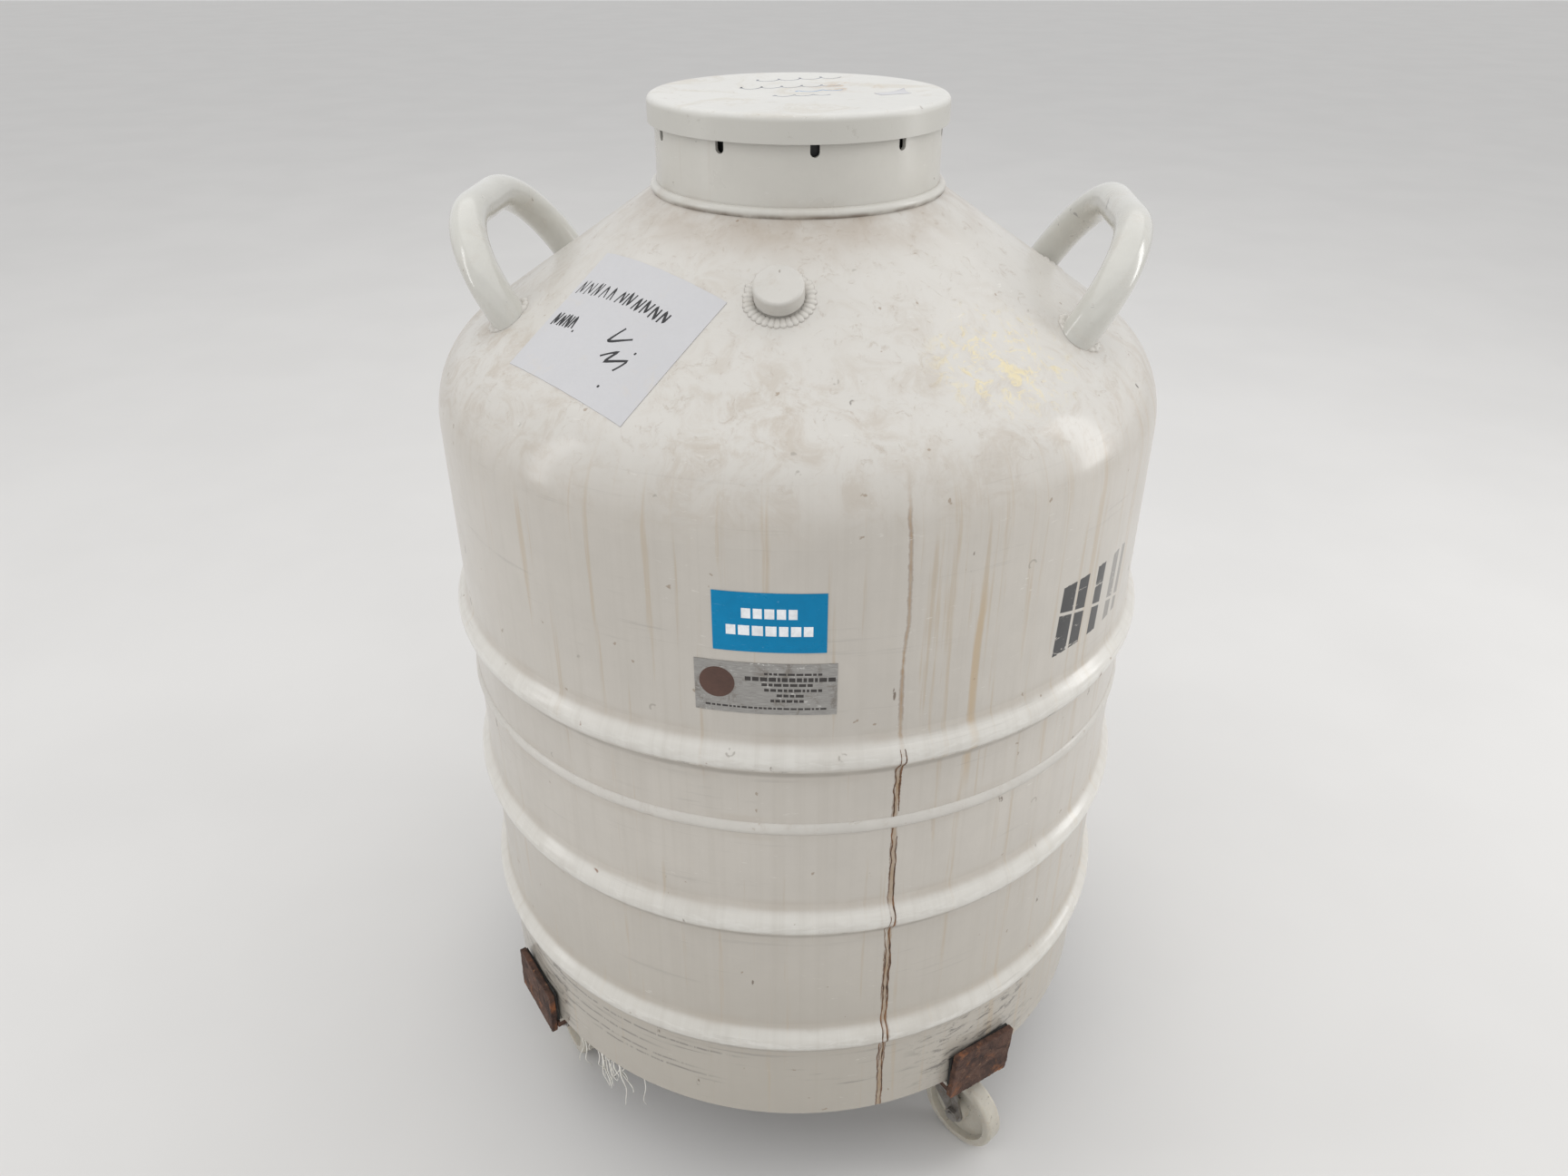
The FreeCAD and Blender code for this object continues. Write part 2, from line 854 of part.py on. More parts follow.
def handle(label, azimuth, flat, envelope):
    """Hollow bent tube, trimmed where its feet meet the cone."""
    body = new_body(f"{label}_blank")
    crown, bend_start, bend_end, foot = handle_path(flat)
    path = new_sketch(body)
    draw_outline(path, [crown, (*bend_start, d.handle_bend_radius, "right"), bend_end, foot], closed=False)
    section = new_sketch(body, "YZ_Plane")
    draw_circle(section, d.handle_tube_radius, 0, d.handle_rise)
    draw_circle(section, d.handle_tube_radius - d.handle_tube_wall, 0, d.handle_rise)
    half = body.newObject("PartDesign::AdditivePipe", "Pipe")
    half.Profile = section
    half.Spine = (path, ["Edge1", "Edge2", "Edge3"])
    body.Tip = half
    whole = body.newObject("PartDesign::Mirrored", "Mirrored")
    whole.Originals = [half]
    whole.MirrorPlane = (origin_part(body, "YZ_Plane"), [""])
    body.Tip = whole
    body.Placement = handle_frame(azimuth)
    return cut(label, body, envelope)


def foot_point(azimuth, flat, side):
    """Where the middle line of one handle leg enters the cone."""
    frame = handle_frame(azimuth)
    _, _, high, low = handle_path(flat)
    high = frame.multVec(Vector(side * high[0].number, 0, high[1].number))
    low = frame.multVec(Vector(side * low[0].number, 0, low[1].number))
    for _ in range(HALVINGS):
        middle = (high + low) * 0.5
        radius = math.hypot(middle.x, middle.y)
        if middle.z > cone_level(as_size(radius)).number + d.shell_lift.number:
            high = middle
        else:
            low = middle
    return high


def handle_weld(name, azimuth, flat, side, envelope):
    """Flattened bead round one handle foot."""
    foot = foot_point(azimuth, flat, side)
    blob = doc.addObject("Part::Ellipsoid", f"{name}_blob")
    bind(blob, "Radius1", d.handle_weld_height)
    bind(blob, "Radius2", d.handle_weld_spread)
    bind(blob, "Radius3", d.handle_weld_spread)
    foot_azimuth = math.degrees(math.atan2(foot.x, -foot.y))
    normal = turn_about_z(foot_azimuth) * Rotation(Vector(0, 1, 0), d.cone_slope.number)
    blob.Placement = Placement(foot, normal)
    leg = doc.addObject("Part::Cylinder", f"{name}_leg")
    bind(leg, "Radius", d.handle_tube_radius + d.fit_gap)
    bind(leg, "Height", 2 * d.handle_leg)
    along = Rotation(Vector(0, 1, 0), -side * d.handle_splay.number)
    turn = handle_frame(azimuth).Rotation * along
    leg.Placement = Placement(foot - turn.multVec(Vector(0, 0, d.handle_leg.number)), turn)
    return cut(name, cut(f"{name}_ring", blob, leg), envelope)


def seam_bead():
    """Low round bead over the butt joint of the two shell halves."""
    body = new_body("seam_bead")
    skin = d.shell_radius + d.seam_bead_gap
    half = d.seam_bead_half_width
    height = d.seam_bead_height
    radius = (half * half + height * height) / (2 * height)
    revolve(body, [(skin, d.seam_level - half, radius, "left"), (skin, d.seam_level + half)])
    lift_vessel(body)
    return body


def port_weld(envelope):
    """Bead round the evacuation port, lying on the cone."""
    body = new_body("port_weld_blank")
    bore = d.port_boss_radius + d.fit_gap
    revolve(
        body,
        [
            (bore, -d.port_weld_root),
            (d.port_weld_spread, -d.port_weld_root),
            (d.port_weld_spread, d.port_weld_toe),
            (bore + d.port_weld_crown, d.port_weld_height),
            (bore, d.port_weld_height),
        ],
    )
    place_on_port(body, as_size(0))
    return cut("port_weld", body, envelope)


def vessel_welds(envelope):
    beads = [seam_bead(), port_weld(envelope)]
    for label, azimuth, flat in HANDLES:
        for side in (-1, 1):
            beads.append(handle_weld(f"{label}_weld_{side + 2}", azimuth, flat, side, envelope))
    return group("vessel_welds", beads)


# ---------------------------------------------------------------------------------------------
# Evacuation port
# ---------------------------------------------------------------------------------------------


def place_on_port(body, along):
    """Stand a part on the port's axis, which is normal to the cone, starting a distance along it."""
    azimuth = d.port_azimuth.number
    turn = turn_about_z(azimuth) * Rotation(Vector(0, 1, 0), d.cone_slope.number)
    level = cone_level(d.port_base_radius).number + d.shell_lift.number
    base = radial_point(azimuth, d.port_base_radius.number, level)
    body.Placement = Placement(base + turn.multVec(Vector(0, 0, as_size(along).number)), turn)


def vacuum_port_boss():
    body = new_body("vacuum_port_boss")
    low, high = -d.port_boss_inside, d.port_boss_outside
    bore, outer = d.port_boss_bore, d.port_boss_radius
    revolve(body, [(bore, low), (outer, low), (outer, high), (bore, high)])
    place_on_port(body, 0)
    return body


def vacuum_port_plug():
    """Plug pushed into the boss, with a groove for its seal."""
    body = new_body("vacuum_port_plug")
    top = d.port_boss_outside - d.port_plug_recess
    bottom = top - d.port_plug_length
    groove_half = d.port_oring_section + d.port_groove_margin
    middle = (top + bottom) / 2
    outer, groove = d.port_plug_radius, d.port_plug_groove_radius
    revolve(
        body,
        [
            (0, bottom),
            (outer, bottom),
            (outer, middle - groove_half),
            (groove, middle - groove_half),
            (groove, middle + groove_half),
            (outer, middle + groove_half),
            (outer, top),
            (0, top),
        ],
    )
    place_on_port(body, 0)
    return body


def vacuum_port_oring():
    ring = doc.addObject("Part::Torus", "vacuum_port_oring")
    ring.Label = "vacuum_port_oring"
    bind(ring, "Radius1", d.port_plug_groove_radius + d.port_oring_section + d.pin_gap)
    bind(ring, "Radius2", d.port_oring_section)
    place_on_port(ring, d.port_boss_outside - d.port_plug_recess - d.port_plug_length / 2)
    return ring


def vacuum_port_cap():
    """Thick push-on cap with a rounded edge."""
    body = new_body("vacuum_port_cap")
    bore = d.port_boss_radius + d.port_cap_clearance
    outer, foot, top = d.port_cap_radius, d.port_cap_foot, d.port_cap_top
    edge = d.port_cap_round
    roof = d.port_boss_outside + d.port_cap_head_gap
    revolve(
        body,
        [
            (bore, foot),
            (outer, foot),
            (outer, top - edge, edge, "left"),
            (outer - edge, top),
            (0, top),
            (0, roof),
            (bore, roof),
        ],
    )
    place_on_port(body, 0)
    return body


# ---------------------------------------------------------------------------------------------
# Lid
# ---------------------------------------------------------------------------------------------


def lid_cover():
    """Flat cover with a rounded edge and a short skirt."""
    body = new_body("lid_cover")
    outer, top, bottom = d.lid_radius, d.lid_top_level, d.lid_skirt_level
    edge, sheet = d.lid_round, d.lid_sheet
    revolve(
        body,
        [
            (outer - sheet, bottom),
            (outer, bottom),
            (outer, top - edge, edge, "left"),
            (outer - edge, top),
            (0, top),
            (0, top - sheet),
            (outer - edge, top - sheet, edge - sheet, "right"),
            (outer - sheet, top - edge),
        ],
    )
    lift_vessel(body)
    return body


def plug_holder():
    """Moulded cup that joins the foam plug to the cover."""
    body = new_body("plug_holder")
    outer = d.holder_radius
    inner = outer - d.holder_wall
    top = d.lid_top_level - d.lid_sheet
    under = top - d.holder_plate
    bottom = d.holder_bottom_level
    revolve(body, [(inner, bottom), (outer, bottom), (outer, top), (0, top), (0, under), (inner, under)])
    lift_vessel(body)
    return body


def neck_plug():
    """Foam plug: a head held in the cup and a long plug down the neck."""
    body = new_body("neck_plug")
    head = d.holder_radius - d.holder_wall - d.fit_gap
    top = d.lid_top_level - d.lid_sheet - d.holder_plate
    step = d.holder_bottom_level
    bottom, edge = d.plug_bottom_level, d.plug_round
    revolve(
        body,
        [
            (0, bottom),
            (d.plug_radius - edge, bottom, edge, "left"),
            (d.plug_radius, bottom + edge),
            (d.plug_radius, step),
            (head, step),
            (head, top),
            (0, top),
        ],
    )
    lift_vessel(body)
    return body


# ---------------------------------------------------------------------------------------------
# Labels
# ---------------------------------------------------------------------------------------------


def wall_label(label, azimuth, span, bottom, height):
    """Thin label bent round the wall."""
    body = new_body(label)
    inner = d.shell_radius + d.label_stand_off
    outer = inner + d.label_thickness
    top = bottom + height
    revolve(body, [(inner, bottom), (outer, bottom), (outer, top), (inner, top)], span)
    lift_vessel(body, azimuth.number - 90)
    return body


def note_outline():
    """Plan outline of a four-sided sheet whose edges are straight when the cone is unrolled."""
    unroll = math.cos(math.radians(d.cone_slope.number))
    flat = [Vector(*polar_xy(r / unroll, azimuth * unroll), 0) for azimuth, r in NOTE_CORNERS]
    outline = []
    for i, start in enumerate(flat):
        along = flat[(i + 1) % len(flat)] - start
        for step in range(NOTE_EDGE_STEPS):
            point = start + along * (step / NOTE_EDGE_STEPS)
            azimuth = math.degrees(math.atan2(point.x, -point.y)) / unroll
            outline.append(polar_xy(point.Length * unroll, azimuth))
    return outline


def paper_note():
    """Sheet of paper taped to the cone, cut out of a thin layer over the cone and shoulder."""
    layer = new_body("note_layer")
    near, far = d.label_stand_off, d.label_stand_off + d.label_thickness
    edge = d.note_layer_radius
    inner = shoulder_vertices(near, edge)
    outer = shoulder_vertices(far, edge)
    revolve(
        layer,
        [*outer, inner[2], (inner[1][0], inner[1][1], d.shoulder_radius + near, "right"), inner[0][:2]],
    )
    lift_vessel(layer)
    prism = new_body("note_prism")
    base = draw_outline(new_sketch(prism, "XY_Plane", d.wall_top_level), note_outline())
    pad(prism, base, d.note_cutter_height)
    lift_vessel(prism)
    note = doc.addObject("Part::Common", "paper_note")
    note.Label = "paper_note"
    note.Base = layer
    note.Tool = prism
    return note


# ---------------------------------------------------------------------------------------------
# Trolley
# ---------------------------------------------------------------------------------------------

ARM_AZIMUTHS = [d.arm_azimuth.number + 90 * k for k in (0, -1, 1, 2)]
bar_bottom = d.bar_top_height - d.bar_thickness
half_bar = d.bar_width / 2


def bar(label, azimuth, x_low, x_high, caster_sides):
    """Flat bar with four bolt holes over each of its casters."""
    body = new_body(label)
    outline = draw_rectangle(new_sketch(body, "XY_Plane", bar_bottom), x_low, x_high, -half_bar, half_bar)
    pad(body, outline, d.bar_thickness)
    holes = new_sketch(body, "XY_Plane", bar_bottom)
    for side in caster_sides:
        for x_sign in (-1, 1):
            for y_sign in (-1, 1):
                x = side * d.caster_radius + x_sign * d.plate_hole_offset
                draw_circle(holes, d.bolt_hole_radius, x, y_sign * d.plate_hole_offset)
    pocket(body, holes, 2 * d.bar_thickness, reverse=True)
    body.Placement = Placement(Vector(), turn_about_z(azimuth))
    return body


def trolley_bars():
    reach = d.lug_inner_distance
    first, left, right, _ = ARM_AZIMUTHS
    return [
        bar("trolley_bar_long", first, -reach, reach, (-1, 1)),
        bar("trolley_bar_left", left, half_bar, reach, (1,)),
        bar("trolley_bar_right", right, half_bar, reach, (1,)),
    ]


def trolley_lug(number, azimuth):
    """Upright plate welded across the end of an arm, a little askew."""
    body = new_body(f"trolley_lug_{number}")
    half = d.lug_width / 2
    bottom = bar_bottom - d.lug_drop
    top = bottom + d.lug_height
    middle = (bottom + top) / 2
    edge = d.lug_corner_round
    sketch = new_sketch(body, "YZ_Plane", d.lug_inner_distance)
    low, high = bottom - middle, top - middle
    draw_outline(
        sketch,
        [
            (-half + edge, low),
            (half - edge, low, edge, "left"),
            (half, low + edge),
            (half, high - edge, edge, "left"),
            (half - edge, high),
            (-half + edge, high, edge, "left"),
            (-half, high - edge),
            (-half, low + edge, edge, "left"),
        ],
    )
    pad(body, sketch, d.lug_thickness)
    askew = Rotation(Vector(1, 0, 0), -d.lug_roll.number)
    body.Placement = Placement(Vector(0, 0, middle.number), turn_about_z(azimuth) * askew)
    return body


def arm_box(name, azimuth, length, width, thickness, x_low, z_low):
    """Box across an arm, starting a distance out along it."""
    box = doc.addObject("Part::Box", name)
    bind(box, "Length", length)
    bind(box, "Width", width)
    bind(box, "Height", thickness)
    turn = turn_about_z(azimuth)
    corner = Vector(as_size(x_low).number, -as_size(width).number / 2, as_size(z_low).number)
    box.Placement = Placement(turn.multVec(corner), turn)
    return box


def support_pads():
    """Woven pads between the bars and the shell's bottom edge."""
    pads = []
    for number, azimuth in enumerate(ARM_AZIMUTHS, start=1):
        start = d.lug_inner_distance - d.liner_thickness - d.pad_length
        pads.append(
            arm_box(
                f"pad_{number}", azimuth, d.pad_length, d.bar_width, d.pad_thickness, start, d.bar_top_height
            )
        )
    return group("support_pads", pads)


def lug_liners():
    """Rubber strips between the lugs and the wall."""
    strips = []
    for number, azimuth in enumerate(ARM_AZIMUTHS, start=1):
        start = d.lug_inner_distance - d.liner_thickness
        level = d.bar_top_height + d.pad_thickness + d.joint_gap
        strips.append(
            arm_box(f"liner_{number}", azimuth, d.liner_thickness, d.bar_width, d.liner_height, start, level)
        )
    return group("lug_liners", strips)


def bead(name, radius, length, sweep, centre, turn):
    """Part of a round bar lying under its arm, along the arm's local Y."""
    rod = doc.addObject("Part::Cylinder", name)
    bind(rod, "Radius", radius)
    bind(rod, "Height", length)
    rod.Angle = sweep
    lay = Rotation(Vector(0, 1, 0), 180) * Rotation(Vector(1, 0, 0), 90)
    half = as_size(length).number / 2
    rod.Placement = Placement(turn.multVec(centre + Vector(0, half, 0)), turn * lay)
    return rod


def trolley_welds():
    """Fillets under the bars: inside each lug, and where the short bars meet the long one."""
    beads = []
    under = bar_bottom.number
    for number, azimuth in enumerate(ARM_AZIMUTHS, start=1):
        turn = turn_about_z(azimuth)
        corner = Vector(d.lug_inner_distance.number, 0, under)
        beads.append(bead(f"lug_bead_{number}", d.bead_radius, d.lug_bead_length, 90, corner, turn))
    for number, azimuth in enumerate(ARM_AZIMUTHS[1:3], start=1):
        turn = turn_about_z(azimuth)
        joint = Vector(half_bar.number, 0, under)
        beads.append(bead(f"cross_bead_{number}", d.bead_radius, d.cross_bead_length, 180, joint, turn))
    return group("trolley_welds", beads)


# ---------------------------------------------------------------------------------------------
# Casters
# ---------------------------------------------------------------------------------------------

plate_bottom = bar_bottom - d.plate_thickness


def at_swivel(body, azimuth, turn_azimuth, height=0):
    """Stand a part on a caster's swivel axis, its local +X turned to an azimuth."""
    base = radial_point(azimuth, d.caster_radius.number, as_size(height).number)
    body.Placement = Placement(base, turn_about_z(turn_azimuth))


def caster_plate(number, azimuth):
    """Square plate with the upper race cup pressed down in its middle."""
    body = new_body(f"caster_plate_{number}")
    bore = d.kingpin_radius + d.pin_gap
    race = plate_bottom - d.cup_depth
    lip = plate_bottom - d.cup_lip_depth
    revolve(
        body,
        [
            (bore, race),
            (d.cup_radius - d.cup_lip, race),
            (d.cup_radius - d.cup_lip, lip),
            (d.cup_radius, lip),
            (d.cup_radius, bar_bottom),
            (bore, bar_bottom),
        ],
    )
    half = d.plate_side / 2
    square = draw_rectangle(new_sketch(body, "XY_Plane", plate_bottom), -half, half, -half, half)
    draw_circle(square, d.cup_radius - d.cup_overlap)
    pad(body, square, d.plate_thickness)
    holes = new_sketch(body, "XY_Plane", plate_bottom)
    for x_sign in (-1, 1):
        for y_sign in (-1, 1):
            draw_circle(holes, d.bolt_hole_radius, x_sign * d.plate_hole_offset, y_sign * d.plate_hole_offset)
    pocket(body, holes, 2 * d.plate_thickness, reverse=True)
    at_swivel(body, azimuth, azimuth)
    return body


def caster_kingpin(number, azimuth):
    """Rivet through the plate that carries the fork."""
    body = new_body(f"caster_kingpin_{number}")
    head_top = d.crown_top_height - d.crown_thickness - d.joint_gap
    head_bottom = head_top - d.kingpin_head_height
    revolve(
        body,
        [
            (0, head_bottom),
            (d.kingpin_head_radius - d.kingpin_chamfer, head_bottom),
            (d.kingpin_head_radius, head_bottom + d.kingpin_chamfer),
            (d.kingpin_head_radius, head_top),
            (d.kingpin_radius, head_top),
            (d.kingpin_radius, bar_bottom),
            (0, bar_bottom),
        ],
    )
    at_swivel(body, azimuth, azimuth)
    return body


def caster_balls(number, azimuth):
    """Ring of bearing balls under the race cup."""
    height = plate_bottom - d.cup_depth - d.ball_radius - d.pin_gap
    balls = []
    for k in range(int(d.ball_count.number)):
        ball = doc.addObject("Part::Sphere", f"ball_{number}_{k + 1}")
        bind(ball, "Radius", d.ball_radius)
        angle = 2 * math.pi * k / d.ball_count.number
        pitch = d.ball_pitch_radius.number
        centre = radial_point(azimuth, d.caster_radius.number, height.number)
        offset = Vector(pitch * math.cos(angle), pitch * math.sin(angle), 0)
        ball.Placement = Placement(centre + offset, Rotation())
        balls.append(ball)
    return group(f"caster_balls_{number}", balls)


def caster_fork(number, azimuth, heading):
    """Pressed fork: round crown, and two raked legs down to the axle."""
    body = new_body(f"caster_fork_{number}")
    crown_bottom = d.crown_top_height - d.crown_thickness
    outside = d.fork_gap + 2 * d.fork_leg_thickness
    foot = d.fork_foot_radius
    axle = d.caster_trail
    root_top = d.crown_top_height - d.fork_root_overlap
    root_bottom = crown_bottom - d.fork_root_height
    leg = draw_outline(
        new_sketch(body),
        [
            (-d.fork_root_back, root_top),
            (-d.fork_root_back, root_bottom),
            (axle - foot, d.wheel_radius, foot, "left"),
            (axle + foot, d.wheel_radius),
            (d.fork_root_front, root_bottom),
            (d.fork_root_front, root_top),
        ],
    )
    pad(body, leg, outside, symmetric=True)
    space_bottom = d.wheel_radius - foot - d.cut_margin
    reach = axle + d.wheel_radius
    space = draw_rectangle(new_sketch(body), -reach, reach, space_bottom, crown_bottom)
    pocket(body, space, d.fork_gap, symmetric=True)
    pad(body, draw_circle(new_sketch(body, "XY_Plane", crown_bottom), d.crown_radius), d.crown_thickness)
    bore = draw_circle(new_sketch(body, "XY_Plane", crown_bottom), d.kingpin_radius + d.running_clearance)
    pocket(body, bore, 2 * d.crown_thickness, reverse=True)
    axle_hole = draw_circle(new_sketch(body), d.axle_radius + d.pin_gap, axle, d.wheel_radius)
    pocket(body, axle_hole, 2 * outside, symmetric=True)
    at_swivel(body, azimuth, heading)
    return body


def axle_frame(azimuth, heading):
    """Frame on a wheel's axle: local Z along the axle."""
    swivel = radial_point(azimuth, d.caster_radius.number)
    centre = swivel + radial_point(heading, d.caster_trail.number, d.wheel_radius.number)
    return Placement(centre, turn_about_z(heading) * Rotation(Vector(1, 0, 0), 90))


def caster_axle(number, azimuth, heading):
    """Hexagon bolt and nut through the fork's feet."""
    body = new_body(f"caster_axle_{number}")
    face = d.fork_gap / 2 + d.fork_leg_thickness + d.pin_gap
    shank = draw_circle(new_sketch(body, "XY_Plane"), d.axle_radius)
    pad(body, shank, 2 * (face + d.axle_head_height + d.axle_end_length), symmetric=True)
    pad(body, draw_hexagon(new_sketch(body, "XY_Plane", face), d.axle_head_radius), d.axle_head_height)
    nut_level = -face - d.axle_head_height
    pad(body, draw_hexagon(new_sketch(body, "XY_Plane", nut_level), d.axle_head_radius), d.axle_head_height)
    body.Placement = axle_frame(azimuth, heading)
    return body


def caster_wheel(number, azimuth, heading):
    """Moulded wheel with a thin web between hub and rim."""
    body = new_body(f"caster_wheel_{number}")
    bore = d.axle_radius + d.running_clearance
    hub_half = d.wheel_hub_width / 2
    web_half = d.wheel_web / 2
    rim_half = d.wheel_width / 2
    edge, taper = d.wheel_edge_round, d.wheel_web_taper
    hub, rim, tread = d.wheel_hub_radius, d.wheel_rim_radius, d.wheel_radius
    revolve(
        body,
        [
            (bore, -hub_half),
            (hub, -hub_half),
            (hub + taper, -web_half),
            (rim - taper, -web_half),
            (rim, -rim_half),
            (tread - edge, -rim_half, edge, "left"),
            (tread, edge - rim_half),
            (tread, rim_half - edge, edge, "left"),
            (tread - edge, rim_half),
            (rim, rim_half),
            (rim - taper, web_half),
            (hub + taper, web_half),
            (hub, hub_half),
            (bore, hub_half),
        ],
    )
    body.Placement = axle_frame(azimuth, heading)
    return body


def bolt_places():
    """The four fixing holes of every caster plate: number, and place over the floor plan."""
    places = []
    for azimuth in ARM_AZIMUTHS:
        turn = turn_about_z(azimuth)
        for x_sign in (-1, 1):
            for y_sign in (-1, 1):
                offset = d.plate_hole_offset.number
                local = Vector(d.caster_radius.number + x_sign * offset, y_sign * offset, 0)
                places.append(turn.multVec(local))
    return places


def caster_bolt(number, place):
    body = new_body(f"caster_bolt_{number}")
    head_bottom = plate_bottom - d.bolt_head_height
    pad(body, draw_hexagon(new_sketch(body, "XY_Plane", head_bottom), d.bolt_head_radius), d.bolt_head_height)
    pad(body, draw_circle(new_sketch(body, "XY_Plane", plate_bottom), d.bolt_radius), d.bolt_length)
    body.Placement = Placement(place, Rotation())
    return body


def caster_nut(number, place):
    body = new_body(f"caster_nut_{number}")
    ring = draw_hexagon(new_sketch(body, "XY_Plane", d.bar_top_height), d.bolt_head_radius)
    draw_circle(ring, d.bolt_radius + d.pin_gap)
    pad(body, ring, d.nut_height)
    body.Placement = Placement(place, Rotation())
    return body


def casters():
    for number, (azimuth, heading) in enumerate(zip(ARM_AZIMUTHS, CASTER_HEADINGS), start=1):
        export(
            caster_plate(number, azimuth),
            caster_kingpin(number, azimuth),
            caster_balls(number, azimuth),
            caster_fork(number, azimuth, heading),
            caster_axle(number, azimuth, heading),
            caster_wheel(number, azimuth, heading),
        )
    places = list(enumerate(bolt_places(), start=1))
    export(group("caster_bolts", [caster_bolt(number, place) for number, place in places]))
    export(group("caster_nuts", [caster_nut(number, place) for number, place in places]))


# ---------------------------------------------------------------------------------------------
# The whole assembly
# ---------------------------------------------------------------------------------------------


def vessel():
    envelope = shell_envelope()
    export(outer_shell_top(), outer_shell_base(), outer_bottom_head())
    export(neck_collar(), neck_tube())
    export(inner_vessel_top(), inner_vessel_base())
    export(insulation_blanket(), adsorbent_pouch(), canister_spider())
    export(*[handle(label, azimuth, flat, envelope) for label, azimuth, flat in HANDLES])
    export(vessel_welds(envelope))
    export(vacuum_port_boss(), vacuum_port_plug(), vacuum_port_oring(), vacuum_port_cap())
    export(
        wall_label(
            "blue_label",
            d.blue_label_azimuth,
            d.blue_label_span,
            d.blue_label_bottom_level,
            d.blue_label_height,
        ),
        wall_label(
            "foil_label",
            d.foil_label_azimuth,
            d.foil_label_span,
            d.foil_label_bottom_level,
            d.foil_label_height,
        ),
        paper_note(),
    )


def lid():
    export(lid_cover(), plug_holder(), neck_plug())


def trolley():
    export(*trolley_bars())
    for number, azimuth in enumerate(ARM_AZIMUTHS, start=1):
        export(trolley_lug(number, azimuth))
    export(trolley_welds(), support_pads(), lug_liners())
    casters()


def check_document():
    """Stop if any object failed to compute or any exported shape isn't sound."""
    for item in doc.Objects:
        if {"Invalid", "Error"} & set(item.State):
            raise RuntimeError(f"{item.Label} did not compute: {item.State}")
    for node in exported:
        if node.Shape.isNull() or not node.Shape.isValid() or node.Shape.Volume <= 0:
            raise RuntimeError(f"{node.Label} has no valid shape")


vessel()
lid()
trolley()
doc.recompute()
check_document()
os.makedirs("parts", exist_ok=True)
for node in exported:
    node.Shape.exportStep(f"parts/{node.Label}.step")
    print(f"{node.Label}: {len(node.Shape.Solids)} solid(s), {node.Shape.Volume / 1000:.1f} cm3")
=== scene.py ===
"""Looks of a liquid nitrogen dewar on its caster trolley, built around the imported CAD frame. Metres."""

import math
import random

import bmesh
import bpy
from mathutils import Matrix, Vector, noise
from mathutils.bvhtree import BVHTree


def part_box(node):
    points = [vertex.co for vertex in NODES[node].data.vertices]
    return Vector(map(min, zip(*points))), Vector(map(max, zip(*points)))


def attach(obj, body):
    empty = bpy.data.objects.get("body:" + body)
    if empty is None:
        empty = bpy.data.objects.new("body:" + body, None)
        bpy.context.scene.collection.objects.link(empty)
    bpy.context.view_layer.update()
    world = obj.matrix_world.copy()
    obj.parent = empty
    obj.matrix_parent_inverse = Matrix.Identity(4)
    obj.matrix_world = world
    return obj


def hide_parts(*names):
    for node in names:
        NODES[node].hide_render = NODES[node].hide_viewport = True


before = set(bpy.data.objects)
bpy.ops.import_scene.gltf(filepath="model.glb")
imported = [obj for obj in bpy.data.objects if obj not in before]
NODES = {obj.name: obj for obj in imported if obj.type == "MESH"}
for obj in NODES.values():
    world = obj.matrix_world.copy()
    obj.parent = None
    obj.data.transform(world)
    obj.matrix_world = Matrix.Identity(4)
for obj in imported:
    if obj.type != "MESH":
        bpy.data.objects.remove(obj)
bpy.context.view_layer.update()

# Places read from the frame, then levels above the shell's foot and the slope of the cone.
SHELL_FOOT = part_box("outer_shell_base")[0][2]
SHELL_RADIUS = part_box("blue_label")[0][1] * -1
LID_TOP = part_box("lid_cover")[1][2]
LID_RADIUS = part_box("lid_cover")[1][0]
COLLAR_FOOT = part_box("neck_collar")[0][2]
RIB_LEVELS = (0.0961, 0.2261, 0.3798)
SEAM_LEVEL = 0.317
CONE_SLOPE = math.radians(33.98)


# ---------------------------------------------------------------------------------------------
# Shader graphs
# ---------------------------------------------------------------------------------------------


